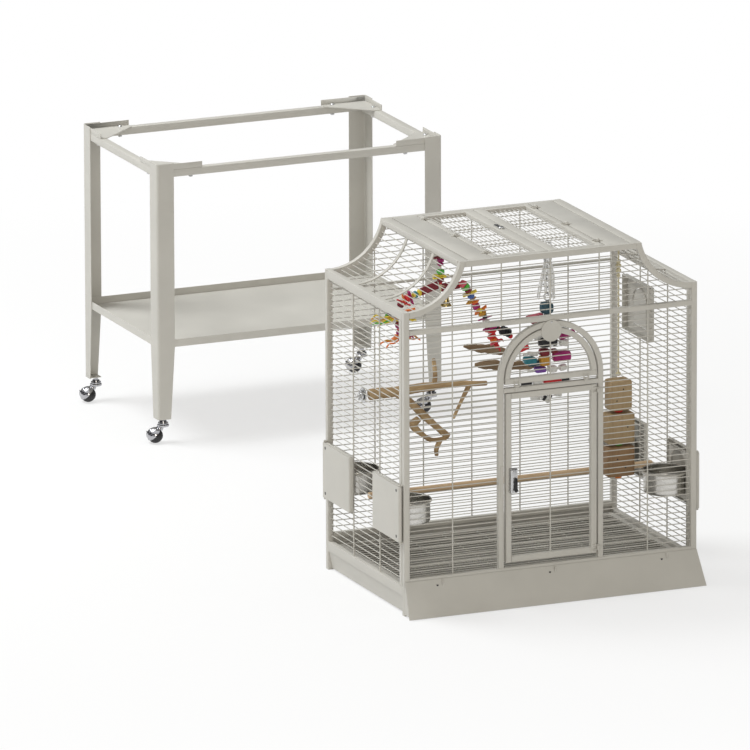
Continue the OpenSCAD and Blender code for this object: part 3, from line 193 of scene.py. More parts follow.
def coated(name, color, rough=0.42):
    """Powder coat: faint mottling, fine orange peel."""
    s = Surface(name)
    broad, peel = s.noise(9), s.noise(700, 2)
    stops = [(0.3, shade(color, 0.965)), (0.7, shade(color, 1.03))]
    return s.finish(broad, stops, (broad, rough - 0.04, rough + 0.05), peel, 0.12, 0.0004)


def metal(name, color, rough, brushed=None):
    s = Surface(name)
    s.shader.inputs["Metallic"].default_value = 1
    grain = s.noise(260, 4, 0.6, brushed)
    stops = [(0.25, shade(color, 0.86)), (0.75, color)]
    return s.finish(grain, stops, (grain, rough * 0.75, rough * 1.3), grain, 0.05, 0.0002)


def plastic(name, color, rough=0.35):
    s = Surface(name)
    fine = s.noise(320, 2)
    stops = [(0.3, shade(color, 0.92)), (0.7, color)]
    return s.finish(fine, stops, (fine, rough - 0.05, rough + 0.08), fine, 0.08, 0.0003)


def timber(name, stops, along, scale, rough, relief):
    """Wood with its grain drawn out along one axis."""
    s = Surface(name)
    stretch = tuple(0.07 if axis == along else 1.0 for axis in "xyz")
    grain, figure = s.noise(scale * 6, 6, 0.65, stretch), s.noise(scale, 3, 0.5, stretch)
    share = add(s.tree, "ShaderNodeMath", {0: figure, 1: 0.55}, operation="MULTIPLY").outputs[0]
    mixed = add(s.tree, "ShaderNodeMath", {0: grain, 1: 0.45, 2: share}, operation="MULTIPLY_ADD").outputs[0]
    return s.finish(mixed, stops, (grain, rough - 0.08, rough + 0.12), grain, relief, 0.0006)


def dyed(name, color):
    """Dyed soft wood, the grain showing a little through the colour."""
    bright = [min(1, c * 1.12 + 0.015) for c in color]
    return timber(name, [(0.2, shade(color, 0.62)), (0.5, color), (0.85, bright)], "z", 40, 0.5, 0.25)


COAT = (0.50, 0.486, 0.447)
coat = coated("warm grey powder coat", COAT)
# Painted shade: the tray pan has the same warm grey coat, darkened to 0.40 to stand for the shadow under the grate
tray_coat_painted_shade = coated("tray coat darkened as painted shade", shade(COAT, 0.40), 0.55)
coat_floor = coated("shelf powder coat", shade(COAT, 1.04), 0.46)
zinc = metal("bright zinc", (0.62, 0.62, 0.62), 0.28)
chrome = metal("chrome", (0.52, 0.52, 0.54), 0.07)
bowl_steel = metal("polished steel", (0.70, 0.685, 0.65), 0.27, (1, 1, 14))
black_steel = metal("blackened screw", (0.10, 0.10, 0.10), 0.35)
brass = metal("brass", (0.72, 0.56, 0.24), 0.16)
black = plastic("black moulding", (0.012, 0.012, 0.013), 0.3)
tread = plastic("black tread", (0.016, 0.016, 0.017), 0.5)
clear_strip = plastic("clear strip", (0.84, 0.85, 0.86), 0.25)
dowel_wood = timber("turned dowel", [(0.25, (0.36, 0.23, 0.12)), (0.5, (0.58, 0.42, 0.26)),
                                     (0.75, (0.68, 0.52, 0.34))], "x", 20, 0.5, 0.2)
branch_wood = timber("peeled branch", [(0.22, (0.10, 0.055, 0.025)), (0.42, (0.28, 0.18, 0.085)),
                                       (0.58, (0.46, 0.325, 0.175)), (0.8, (0.66, 0.52, 0.33))], "x", 34, 0.62, 1.0)
bark = timber("cork bark", [(0.25, (0.08, 0.05, 0.03)), (0.5, (0.25, 0.17, 0.10)),
                            (0.75, (0.50, 0.385, 0.26))], "x", 46, 0.8, 1.0)
block_wood = timber("raw toy wood", [(0.2, (0.20, 0.125, 0.055)), (0.5, (0.37, 0.265, 0.145)),
                                     (0.8, (0.47, 0.36, 0.22))], "z", 24, 0.6, 0.3)
dark_wood = timber("darker toy wood", [(0.2, (0.15, 0.085, 0.04)), (0.5, (0.28, 0.17, 0.085)),
                                       (0.8, (0.38, 0.25, 0.14))], "z", 24, 0.6, 0.3)
hemp = timber("hemp cord", [(0.3, (0.50, 0.44, 0.28)), (0.7, (0.76, 0.70, 0.50))], "z", 220, 0.9, 0.8)
# The toys' dyed woods, by the first word of each name
DYES = {name.split()[0]: dyed(name, color) for name, color in (
    ("teal block", (0.02, 0.19, 0.24)), ("magenta block", (0.34, 0.008, 0.14)), ("maroon block", (0.19, 0.012, 0.022)),
    ("red slat", (0.62, 0.02, 0.025)), ("orange bead", (0.75, 0.19, 0.03)), ("yellow bead", (0.78, 0.60, 0.05)),
    ("green bead", (0.10, 0.50, 0.06)), ("blue bead", (0.06, 0.14, 0.45)), ("purple bead", (0.18, 0.06, 0.36)),
    ("black block", (0.014, 0.014, 0.018)), ("white bead", (0.72, 0.72, 0.70)), ("pink block", (0.62, 0.10, 0.14)),
    ("amber block", (0.55, 0.27, 0.03)), ("rose slat", (0.40, 0.07, 0.10)), ("navy block", (0.016, 0.062, 0.088)),
)}

# ---- Mesh building, in mm ----

AXES = {"x": (1, 2, 0), "y": (0, 2, 1), "z": (0, 1, 2)}


def fan(r, a0, a1, steps, cu=0.0, cv=0.0):
    """Points along an arc about a centre, from a0 to a1 degrees."""
    angles = [radians(a0 + (a1 - a0) * i / steps) for i in range(steps + 1)]
    return [(cu + r * cos(a), cv + r * sin(a)) for a in angles]


def circle(r, n):
    return fan(r, 0, 360, n)[:-1]


def round_rect(u0, u1, v0, v1, r=EDGE, steps=3):
    r = min(r, (u1 - u0) / 2 - 0.01, (v1 - v0) / 2 - 0.01)
    centres = ((u1 - r, v1 - r, 0), (u0 + r, v1 - r, 90), (u0 + r, v0 + r, 180), (u1 - r, v0 + r, 270))
    return [p for cu, cv, a0 in centres for p in fan(r, a0, a0 + 90, steps, cu, cv)]


class Shape:
    """A mesh being built in mm, in one material and at one place at a time."""

    def __init__(self, mat, place=None):
        self.bm, self.mats, self.index = bmesh.new(), [mat], 0
        self.place = place or Matrix.Identity(4)

    def use(self, mat):
        if mat not in self.mats:
            self.mats.append(mat)
        self.index = self.mats.index(mat)

    @contextmanager
    def at(self, place):
        """Draws at a place within the one in use."""
        keep, self.place = self.place, self.place @ place
        yield
        self.place = keep

    def vert(self, p):
        return self.bm.verts.new(self.place @ Vector(p))

    def face(self, *verts):
        self.bm.faces.new(verts).material_index = self.index

    def skin(self, low, high):
        n = len(low)
        for i in range(n):
            self.face(low[i], low[(i + 1) % n], high[(i + 1) % n], high[i])

    def loft(self, rings, closed=False):
        """Skins rings of points that all have the same number of points."""
        loops = [[self.vert(p) for p in ring] for ring in rings]
        for low, high in zip(loops, loops[1:] + loops[:1] if closed else loops[1:]):
            self.skin(low, high)
        if not closed:
            self.face(*loops[0][::-1])
            self.face(*loops[-1])

    def stack(self, *layers, closed=False):
        """Skins flat outlines, each at its height."""
        self.loft([[(u, v, z) for u, v in outline] for outline, z in layers], closed)

    def prism(self, outline, axis, s0, s1):
        """Extrudes an outline, given on the two other axes in order, along one axis."""
        iu, iv, ia = AXES[axis]
        rings = []
        for s in (s0, s1):
            ring = []
            for u, v in outline:
                p = [0, 0, 0]
                p[iu], p[iv], p[ia] = u, v, s
                ring.append(p)
            rings.append(ring)
        self.loft(rings)

    def tube(self, axis, s0, s1, u0, u1, v0, v1, r=EDGE):
        self.prism(round_rect(u0, u1, v0, v1, r), axis, s0, s1)

    def box(self, x0, x1, y0, y1, z0, z1, r=0.5):
        """A block with its edges eased on every side."""
        r = min(r, (x1 - x0) / 2.1, (y1 - y0) / 2.1, (z1 - z0) / 2.1)
        layers = []
        for z, inset in ((z0, r), (z0 + r * 0.3, r * 0.3), (z0 + r, 0), (z1 - r, 0), (z1 - r * 0.3, r * 0.3), (z1, r)):
            sides = x0 + inset, x1 - inset, y0 + inset, y1 - inset
            layers.append((round_rect(*sides, max(0.05, r - inset * 0.5), 2), z))
        self.stack(*layers)

    def arc(self, cx, cz, r0, r1, y0, y1, a0, a1, steps=72):
        """A tube bent in the X-Z plane; angles are from the right, upwards."""
        profile = round_rect(r0, r1, y0, y1)
        ways = fan(1, a0, a1, steps)
        self.loft([[(cx + r * u, y, cz + r * v) for r, y in profile] for u, v in ways])

    def rod(self, p0, p1, r, n=12):
        p0, p1 = Vector(p0), Vector(p1)
        turn = (p1 - p0).to_track_quat("Z", "Y").to_matrix()
        self.loft([[p + turn @ Vector((u, v, 0)) for u, v in circle(r, n)] for p in (p0, p1)])

    def lathe(self, profile, place=None, n=48):
        """Turns (radius, height) points about Z; a radius of 0 closes the shape there."""
        with self.at(place or Matrix.Identity(4)):
            rings = []
            for r, z in profile:
                rings.append([self.vert((u, v, z)) for u, v in (circle(r, n) if r > 1e-6 else [(0, 0)])])
        for low, high in zip(rings, rings[1:]):
            if len(low) > 1 and len(high) > 1:
                self.skin(low, high)
            elif len(low) + len(high) > 2:
                tip, rim = sorted((low, high), key=len)
                for i in range(n):
                    self.face(tip[0], rim[(i + 1) % n], rim[i])

    def path(self, points, radii, n=12):
        """A round bar along a line of points, with a radius at each or one for all."""
        points = [Vector(p) for p in points]
        if not hasattr(radii, "__len__"):
            radii = [radii] * len(points)
        side = None
        rings = []
        for i, (p, r) in enumerate(zip(points, radii)):
            ahead = points[min(i + 1, len(points) - 1)] - points[max(i - 1, 0)]
            ahead.normalize()
            if side is None:
                side = ahead.orthogonal().normalized()
            side = (side - ahead * side.dot(ahead)).normalized()
            other = ahead.cross(side)
            rings.append([p + side * u + other * v for u, v in circle(r, n)])
        self.loft(rings)

    def torus(self, place, big, small, n=36, m=10, a0=0.0, a1=360.0):
        """A ring about the place's Z, or the part of it between two angles."""
        full = abs(a1 - a0) >= 359.9
        ways = fan(1, a0, a1, n)[:n if full else n + 1]
        with self.at(place):
            self.loft([[((big + u) * c, (big + u) * s, v) for u, v in circle(small, m)] for c, s in ways], full)

    def plate(self, outer, hole, thick, place):
        """A flat plate in the place's X-Y with a hole, from z = 0 to thick."""
        levels = []
        for z in (0, thick):
            with self.at(place):
                loops = [[self.vert((x, y, z)) for x, y in loop] for loop in (outer, hole)]
            edges = [self.bm.edges.new((a, b)) for loop in loops for a, b in zip(loop, loop[1:] + loop[:1])]
            made = bmesh.ops.triangle_fill(self.bm, use_beauty=True, use_dissolve=False, edges=edges)
            for part in made["geom"]:
                if isinstance(part, bmesh.types.BMFace):
                    part.material_index = self.index
            levels.append(loops)
        for low, high in zip(*levels):
            self.skin(low, high)


def mesh_of(shape, origin=cage_at, weld=True):
    """The mesh of a Shape, set down at an origin in the frame."""
    if weld:
        bmesh.ops.remove_doubles(shape.bm, verts=shape.bm.verts, dist=0.001)
    bmesh.ops.recalc_face_normals(shape.bm, faces=shape.bm.faces)
    mesh = bpy.data.meshes.new("shape")
    shape.bm.to_mesh(mesh)
    shape.bm.free()
    mesh.transform(Matrix.Translation(origin) @ Matrix.Scale(0.001, 4))
    for mat in shape.mats:
        mesh.materials.append(mat)
    return mesh


def show(name, mesh, body, slot="powder_coat", smooth=35, replaces=None, subdivide=0):
    """An object at the origin that rides on its body, for the CAD node of its name if no other is told."""
    mesh.polygons.foreach_set("use_smooth", [True] * len(mesh.polygons))
    mesh.set_sharp_from_angle(angle=radians(smooth))
    obj = bpy.data.objects.new(name, mesh)
    bpy.context.scene.collection.objects.link(obj)
    if subdivide:
        mod = obj.modifiers.new("round", "SUBSURF")
        mod.levels = mod.render_levels = subdivide
    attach(obj, body)
    replaces = [name] if replaces is None else replaces
    if replaces:
        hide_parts(*replaces)


def piece(name, shape, body=ROOT, slot="powder_coat", smooth=35, origin=cage_at, subdivide=0):
    show(name, mesh_of(shape, origin), body, slot, smooth, subdivide=subdivide)


# ---- Repeats, by Geometry Nodes ----

def tree_with(name, **sockets):
    """A Geometry Nodes tree with a mesh and some values as its inputs."""
    tree = bpy.data.node_groups.new(name, "GeometryNodeTree")
    tree.is_modifier = True
    for label, kind in {"Geometry": "Geometry", **sockets, "Material": "Material"}.items():
        tree.interface.new_socket(label, in_out="INPUT", socket_type="NodeSocket" + kind)
    tree.interface.new_socket("Geometry", in_out="OUTPUT", socket_type="NodeSocketGeometry")
    return tree, add(tree, "NodeGroupInput").outputs


def end_tree(tree, given, made):
    """Makes the instances real and paints them."""
    real = add(tree, "GeometryNodeRealizeInstances", {0: made}).outputs[0]
    paint = add(tree, "GeometryNodeSetMaterial", {"Geometry": real, "Material": given["Material"]})
    add(tree, "NodeGroupOutput", {0: paint.outputs[0]})
    return tree


def rod_tree():
    """Each edge of the mesh becomes a round rod."""
    tree, given = tree_with("rods", Radius="Float", Sides="Int")
    curve = add(tree, "GeometryNodeMeshToCurve", {0: given["Geometry"]}).outputs[0]
    size = {"Radius": given["Radius"], "Resolution": given["Sides"]}
    profile = add(tree, "GeometryNodeCurvePrimitiveCircle", size).outputs["Curve"]
    skin = {"Curve": curve, "Profile Curve": profile, "Fill Caps": True}
    return end_tree(tree, given, add(tree, "GeometryNodeCurveToMesh", skin).outputs[0])


def scatter_tree():
    """One item at each point, turned as the point says."""
    tree, given = tree_with("repeats", Item="Object")
    item = add(tree, "GeometryNodeObjectInfo", {"Object": given["Item"]}).outputs["Geometry"]
    turn = add(tree, "GeometryNodeInputNamedAttribute", {"Name": "turn"}, data_type="FLOAT_VECTOR")
    places = {"Points": given["Geometry"], "Instance": item, "Rotation": turn.outputs["Attribute"]}
    return end_tree(tree, given, add(tree, "GeometryNodeInstanceOnPoints", places).outputs[0])


RODS, REPEATS = rod_tree(), scatter_tree()


def grown(source, tree, **values):
    """The plain mesh that a tree makes of a mesh."""
    obj = bpy.data.objects.new("grow", source)
    bpy.context.scene.collection.objects.link(obj)
    mod = obj.modifiers.new("grow", "NODES")
    mod.node_group = tree
    for socket in tree.interface.items_tree:
        if socket.item_type == "SOCKET" and socket.in_out == "INPUT" and socket.name in values:
            mod[socket.identifier] = values[socket.name]
    depsgraph = bpy.context.evaluated_depsgraph_get()
    depsgraph.update()
    mesh = bpy.data.meshes.new_from_object(obj.evaluated_get(depsgraph))
    obj.modifiers.remove(mod)
    bpy.data.objects.remove(obj)
    return mesh


def merge(*meshes):
    """Joins meshes that share no vertices into one, keeping their materials."""
    bm = bmesh.new()
    mats = []
    for mesh in meshes:
        start = len(bm.faces)
        bm.from_mesh(mesh)
        bm.faces.ensure_lookup_table()
        mats += [mat for mat in mesh.materials if mat not in mats]
        indices = [mats.index(mat) for mat in mesh.materials]
        for face in bm.faces[start:]:
            face.material_index = indices[face.material_index]
    out = bpy.data.meshes.new("merged")
    bm.to_mesh(out)
    bm.free()
    for mat in mats:
        out.materials.append(mat)
    return out


def rods(segments, diameter, sides):
    points = [cage_at + Vector(p) * 0.001 for segment in segments for p in segment]
    mesh = bpy.data.meshes.new("rod lines")
    mesh.from_pydata(points, [(2 * i, 2 * i + 1) for i in range(len(segments))], [])
    return grown(mesh, RODS, Radius=diameter * 0.0005, Sides=sides, Material=coat)


def wires(name, body, lines, posts, extra=None, line_d=WIRE, post_d=UPRIGHT, sides=(10, 12)):
    """A grille of thin lines and thicker posts, with bars of its own if it has any."""
    meshes = [rods(lines, line_d, sides[0])] + ([rods(posts, post_d, sides[1])] if posts else [])
    if extra:
        meshes.append(mesh_of(extra, weld=False))
    show(name, merge(*meshes), body, smooth=40)


def repeated(item, places, origin=cage_at):
    """A mesh of item, a Shape, at each (place, turn)."""
    mesh = mesh_of(item, Vector(), weld=False)
    mesh.materials.clear()
    holder = bpy.data.objects.new("item", mesh)
    points = bpy.data.meshes.new("places")
    points.from_pydata([origin + Vector(p) * 0.001 for p, _ in places], [], [])
    turns = points.attributes.new("turn", "FLOAT_VECTOR", "POINT")
    turns.data.foreach_set("vector", [v for _, turn in places for v in turn])
    out = grown(points, REPEATS, Item=holder, Material=item.mats[0])
    bpy.data.objects.remove(holder)
    return out


def across(x0, x1, y, z):
    return [(x0, y, z), (x1, y, z)]


def upright(x, y, z0, z1):
    return [(x, y, z0), (x, y, z1)]


def with_mirrored(segments):
    return segments + [[(CAGE_W - x, y, z) for x, y, z in segment] for segment in segments]


# ---- Cage frame ----

def front_and_back_frames():
    for name, y0 in (("front_frame", 0), ("back_frame", CAGE_D - TUBE)):
        y1 = y0 + TUBE
        s = Shape(coat)
        for x in (0, CAGE_W - TUBE):
            s.tube("z", 0, SHOULDER_H, x, x + TUBE, y0, y1)
        mid = (CAGE_D - 9, y1, MID_TOP - 9.75, MID_TOP - 3.25) if y0 else (y0, y1, MID_TOP - MID_H, MID_TOP)
        for rail in ((y0, y1, FRONT_RAIL, FRONT_RAIL + TUBE), mid):
            s.tube("x", TUBE, CAGE_W - TUBE, *rail)
        top = round_rect(y0, y1, ROOF_H - TUBE, ROOF_H)
        left = [(COVE_X + sqrt(COVE_UNDER**2 - (COVE_Z - z) ** 2), y, z) for y, z in top]
        s.loft([left, [(CAGE_W - x, y, z) for x, y, z in left]])
        piece(name, s)


def side_frames():
    s = Shape(coat)
    low, high = SIDE_RAIL + SIDE_RAIL_H, SHOULDER_H - SHOULDER_RAIL
    for side in SIDES:
        x = side(0, TUBE)
        s.tube("y", TUBE, CAGE_D - TUBE, *x, high, SHOULDER_H)
        s.tube("y", TUBE, CAGE_D - TUBE, *x, SIDE_RAIL, low)
        s.tube("z", low, high, *x, 18, 33)
    piece("side_frames", s)


def cove_arc(s, r0, r1, y0, y1, z_end, edge, mirror, steps=36):
    """A bar bent along a cove, cut upright at its post and level at its top."""
    rings = []
    for i in range(steps + 1):
        ring = []
        for r, y in round_rect(r0, r1, y0, y1, edge):
            a0, a1 = asin((TUBE - COVE_X) / r), acos((COVE_Z - z_end) / r)
            a = a0 + (a1 - a0) * i / steps
            x = COVE_X + r * sin(a)
            ring.append((CAGE_W - x if mirror else x, y, COVE_Z - r * cos(a)))
        rings.append(ring)
    s.loft(rings)


def cove_wire(i):
    """The centre of the left cove's wire i, in X and Z."""
    r = COVE_R + 5.03 + WIRE / 2
    a0 = asin((TUBE + PITCH / 2 - COVE_X) / r)
    a1 = acos((COVE_Z - ROOF_H + TUBE + WIRE / 2 + 0.3) / r)
    a = a0 + (a1 - a0) * i / COVE_WIRES
    return COVE_X + r * sin(a), COVE_Z - r * cos(a)


def coves():
    tubes, bars = Shape(coat), Shape(coat)
    for mirror in (False, True):
        for y in (0, CAGE_D - TUBE):
            cove_arc(tubes, COVE_R, COVE_UNDER, y, y + TUBE, ROOF_H, EDGE, mirror)
        for y in (CAGE_D / 3, CAGE_D * 2 / 3):
            cove_arc(bars, COVE_R + 2, COVE_R + 5, y - 6, y + 6, ROOF_H - TUBE, 0.8, mirror, 30)
    piece("cove_tubes", tubes, smooth=40)
    ends = [cove_wire(i) for i in range(COVE_WIRES + 1)]
    wires("cove_grilles", ROOT, with_mirrored([[(x, TUBE, z), (x, CAGE_D - TUBE, z)] for x, z in ends]), [], bars)


def roof():
    s = Shape(coat)
    for side in SIDES:
        s.tube("y", TUBE, CAGE_D - TUBE, *side(151, 178), ROOF_H - TUBE, ROOF_H)
        s.box(*side(181, 245), TUBE, CAGE_D - TUBE, ROOF_H - 4, ROOF_H, 0.9)
    piece("roof_frame", s)


def arch():
    s = Shape(coat)
    inner = ARCH_R - ARCH_TUBE
    for x in (MID_X - ARCH_R, MID_X + inner):
        s.tube("z", FRONT_RAIL + TUBE, ARCH_Z, x, x + ARCH_TUBE, 0, TUBE)
    s.arc(MID_X, ARCH_Z, inner, ARCH_R - 0.3, 0, TUBE, 0, 180)
    s.tube("x", MID_X - inner, MID_X + inner, 0, TUBE, CROSSBAR, CROSSBAR + CROSSBAR_H)
    strike = MID_X - ARCH_R
    s.box(strike + 4, strike + 13, -1.5, 0, LATCH_Z - 9, LATCH_Z + LATCH_H + 7)
    piece("arch_frame", s)


def front_and_back_wires():
    low, high = FRONT_RAIL + TUBE, MID_TOP - MID_H
    bays = [CAGE_W * i / 6 for i in range(1, 6)]
    for name, y, y_up in (("front_grille", WIRE_C, UPRIGHT_C), ("back_grille", CAGE_D - WIRE_C, CAGE_D - UPRIGHT_C)):
        lines = [across(wire_x0(z), CAGE_W - wire_x0(z), y, z) for z in rows(MID_TOP, ROOF_H - TUBE)]
        posts = [upright(x, y_up, MID_TOP, post_top(min(x, CAGE_W - x))) for x in bays]
        if name == "front_grille":
            lines += with_mirrored([across(TUBE, MID_X - arch_half(z), y, z) for z in rows(low, high)])
            beside = [x for x in bays if x < MID_X - ARCH_R - UPRIGHT]
            posts += with_mirrored([upright(x, y_up, low, high) for x in beside])
        else:
            lines += [across(TUBE, CAGE_W - TUBE, y, z) for z in rows(low, high)]
            posts += [upright(x, y_up, low, high + 3.25) for x in bays]
        wires(name, ROOT, lines, posts)


def side_wires():
    low, high, bay = SIDE_RAIL + SIDE_RAIL_H, SHOULDER_H - SHOULDER_RAIL, CAGE_D / 3
    for name, nest in (("left_grille", False), ("right_grille", True)):
        x, x_up = (CAGE_W - WIRE_C, CAGE_W - UPRIGHT_C) if nest else (WIRE_C, UPRIGHT_C)
        lines, posts = [], []
        for z in rows(low, high):
            y0, y1 = 33, CAGE_D - TUBE
            if FEEDER_Z + 4 < z < FEEDER_Z + FEEDER_H - 4:
                y0, y1 = bay - 2.75, 2 * bay + 2.75
            spans = [(y0, y1)]
            if nest and NEST_Z - WIRE < z < NEST_Z + NEST_H + WIRE:
                spans = [(y0, NEST_Y), (NEST_Y + NEST_W, y1)]
            lines += [[(x, a, z), (x, b, z)] for a, b in spans]
        for y in (bay, 2 * bay):
            spans = [(low, high)]
            if nest and NEST_Y < y < NEST_Y + NEST_W:
                spans = [(low, NEST_Z), (NEST_Z + NEST_H, high)]
            posts += [upright(x_up, y, a, b) for a, b in spans]
        wires(name, ROOT, lines, posts)


def skirts():
    s = Shape(coat)
    for side in SIDES:
        (a, b), (c, d) = side(2, 3.5), side(10, 11.5)
        s.prism([(a, SIDE_RAIL), (b, SIDE_RAIL), (d, 4), (c, 4)], "y", TUBE, CAGE_D - TUBE)
        s.box(*side(8, 31), TUBE, CAGE_D - TUBE, 16.2, 17.7, 0.3)
    s.box(TUBE, CAGE_W - TUBE, CAGE_D - 5.5, CAGE_D - 4, 4, FRONT_RAIL, 0.4)
    piece("base_skirts", s)


# ---- Tray ----

def tray():
    # The pan wears the coat darkened as painted shade for the shadow under the grate
    s = Shape(tray_coat_painted_shade)
    x0, x1 = TRAY_X0, CAGE_W - TRAY_X0
    outer = round_rect(x0, x1, TRAY_Y0, TRAY_Y1, 3)
    inner = round_rect(x0 + SHEET, x1 - SHEET, TRAY_Y0 + SHEET, TRAY_Y1 - SHEET, 2)
    s.stack((outer, TRAY_Z), (outer, TRAY_RIM), (inner, TRAY_RIM), (inner, TRAY_Z + SHEET))
    piece("tray_pan", s, "tray")

    s = Shape(coat)
    back, foot, top = 0.6, 2, FRONT_RAIL + 7.5
    slope = APRON_FLARE / (top - foot)

    def lean(z):
        return back + slope * (top - z)

    section = ((top, back), (top, back + SHEET), (foot + 1, lean(foot + 1) + SHEET), (foot, lean(foot) + SHEET - 0.8),
               (foot, lean(foot) + 0.4), (foot + 1, lean(foot + 1)))
    flare = [APRON_SIDE * (1 - z / FRONT_RAIL) for z, _ in section]
    s.loft([[(-out, -y, z) for out, (z, y) in zip(flare, section)],
            [(CAGE_W + out, -y, z) for out, (z, y) in zip(flare, section)]])
    for side in SIDES:
        s.prism([(-back - SHEET / 2, top - 6), (-lean(foot) * 0.96, foot + 3), (-back, foot + 3)], "x", *side(0, SHEET))
    s.box(x0, x1, -lean(TRAY_RIM) - 0.5, TRAY_Y0, TRAY_RIM - SHEET, TRAY_RIM, 0.3)
    s.box(x0, x1, TRAY_Y0 - SHEET, TRAY_Y0, TRAY_Z + 4, TRAY_RIM, 0.3)
    hook_r, drop = 7.5, 7
    y, z = -back - SHEET - slope * drop - 3.2, top - drop
    for x in (93, MID_X, CAGE_W - 93):
        bend = [(u, y, v) for u, v in fan(hook_r, 0, -180, 12, x, z - 6)]
        s.path([(x + hook_r, y + 5, z + 5.5), (x + hook_r, y + 1.5, z + 3.5), (x + hook_r, y, z + 2.5)] + bend, 2.0, 10)
        s.use(black)
        s.path([*bend[-2:], (x - hook_r, y, z - 5)], 2.7, 10)
        s.use(coat)
    piece("tray_apron", s, "tray")


def grate():
    x0, x1, y0, y1, border, rod, top = 20, CAGE_W - 20, 8.3, 478, 14, 4, TRAY_RIM + 8
    in_x0, in_x1, in_y0, in_y1 = x0 + border, x1 - border, y0 + border, y1 - border
    s = Shape(coat)
    outer, inner = round_rect(x0, x1, y0, y1, 2), round_rect(in_x0, in_x1, in_y0, in_y1, 1)
    s.stack((outer, TRAY_RIM), (outer, top), (inner, top), (inner, TRAY_RIM), closed=True)
    z = top - rod / 2
    lines = [across(in_x0, in_x1, y, z) for y in rows(in_y0, in_y1, 19)]
    bays = [x0 + (x1 - x0) * i / 8 for i in range(1, 8)]
    posts = [[(x, in_y0, z - rod - WELD_GAP), (x, in_y1, z - rod - WELD_GAP)] for x in bays]
    wires("floor_grate", "tray", lines, posts, s, rod, rod - 1, (12, 10))


# ---- Hinges: axis along local Z, the plates' common face at y = RING_R ----

def hinge_ring():
    s = Shape(coat)
    edge = RING_R - 0.4
    s.lathe([(2.05, -4), (edge, -4), (RING_R, -3.6), (RING_R, 3.6), (edge, 4), (2.05, 4), (2.05, -4)], n=28)
    s.box(0, 12, RING_R - 1.6, RING_R, -4, 4, 0.3)
    return s


def pins(name, body, places):
    s = Shape(coat)
    s.lathe([(0, -7.6), (1.5, -7.5), (PIN_R, -7.1), (PIN_R, 7.1), (1.5, 7.5), (0, 7.6)], n=20)
    for z in (-7.3, 4.3):
        s.box(-12, 0.5, 0.4, RING_R, z, z + 3, 0.3)
    show(name, repeated(s, places), body, replaces=())


def hinges(places, *turns):
    turn = tuple(at((0, 0, 0), *turns).to_euler())
    return [(place, turn) for place in places]


ROOF_L_AXIS = 246.5
DOOR_HINGES = hinges([(DOOR_X1 + 2, -RING_R, z) for z in (DOOR_Z0 + 14, DOOR_Z1 - 14)])
WINDOW_HINGES = hinges([(x, -RING_R, 562.5) for x in (MID_X - 95, MID_X + 95)], ("Y", 90))
ROOF_L_HINGES = hinges([(ROOF_L_AXIS, y, ROOF_H + RING_R) for y in (60, 250, 440)], ("Z", 180), ("X", -90))
ROOF_R_HINGES = hinges([(CAGE_W - ROOF_L_AXIS, y, ROOF_H + RING_R) for y in (60, 250, 440)], ("X", -90))
NEST_AXIS = NEST_Y + NEST_W / 2 - NEST_R - 0.75
NEST_HINGES = hinges([(CAGE_W + RING_R, NEST_AXIS, z) for z in (NEST_Z + 30, NEST_Z + NEST_H - 58)],
                     ("Z", -90), ("X", 180))


def feeder_place(right, back):
    """X points out of the wall, Y away from the hinge."""
    corner = Matrix.Translation((CAGE_W if right else 0, CAGE_D - FEEDER_Y if back else FEEDER_Y, 0))
    return corner @ Matrix.Diagonal((1 if right else -1, -1 if back else 1, 1, 1))


def fixed_hinges():
    lugs = Shape(coat)
    for _, right, back in CORNERS:
        lugs.place = feeder_place(right, back)
        for z in (FEEDER_Z - 4.5, FEEDER_Z + FEEDER_H + 0.5):
            lugs.box(0, 9.5, -3, 3, z, z + 4, 0.6)
        lugs.rod((FEEDER_AXIS, 0, FEEDER_Z - 6), (FEEDER_AXIS, 0, FEEDER_Z + FEEDER_H + 6), 1.5)
    rings = repeated(hinge_ring(), DOOR_HINGES + WINDOW_HINGES + ROOF_L_HINGES + ROOF_R_HINGES + NEST_HINGES)
    show("hinge_rings", merge(rings, mesh_of(lugs, weld=False)), ROOT)


# ---- Door ----

def door():
    s = Shape(coat)
    x0, x1, z0, z1 = DOOR_X0 + TUBE, DOOR_X1 - TUBE, DOOR_Z0 + TUBE, DOOR_Z1 - TUBE
    for x in (DOOR_X0, x1):
        s.tube("z", DOOR_Z0, DOOR_Z1, x, x + TUBE, 0, TUBE)
    for z in (DOOR_Z0, z1):
        s.tube("x", x0, x1, 0, TUBE, z, z + TUBE)
    piece("door_frame", s, "main_door")
    pins("door_hinge_pins", "main_door", DOOR_HINGES)
    lines = [across(x0, x1, WIRE_C, z) for z in rows(z0, z1)]
    wires("door_grille", "main_door", lines, [upright(MID_X, UPRIGHT_C, z0, z1)])


LEVER_X = LATCH_X + LATCH_W * 0.62
LEVER_ROW = floor((LATCH_Z + LATCH_H * 0.6 - DOOR_Z0 - TUBE) / PITCH) + 0.5
LEVER_Z = DOOR_Z0 + TUBE + LEVER_ROW * PITCH
COLLAR = [(3.05, -2), (6, -2), (6, 1.2), (5.4, 2), (3.05, 2)]
CASE_SCREW = [(0, 1.6), (1.6, 1.3), (2.5, 0.5), (2.6, -1), (0, -1)]
LEVER_KNOB = [(0, 4.6), (2.6, 4.2), (4.4, 2.2), (5, 0), (4.4, -2.2), (2.6, -4.2), (0, -4.6)]


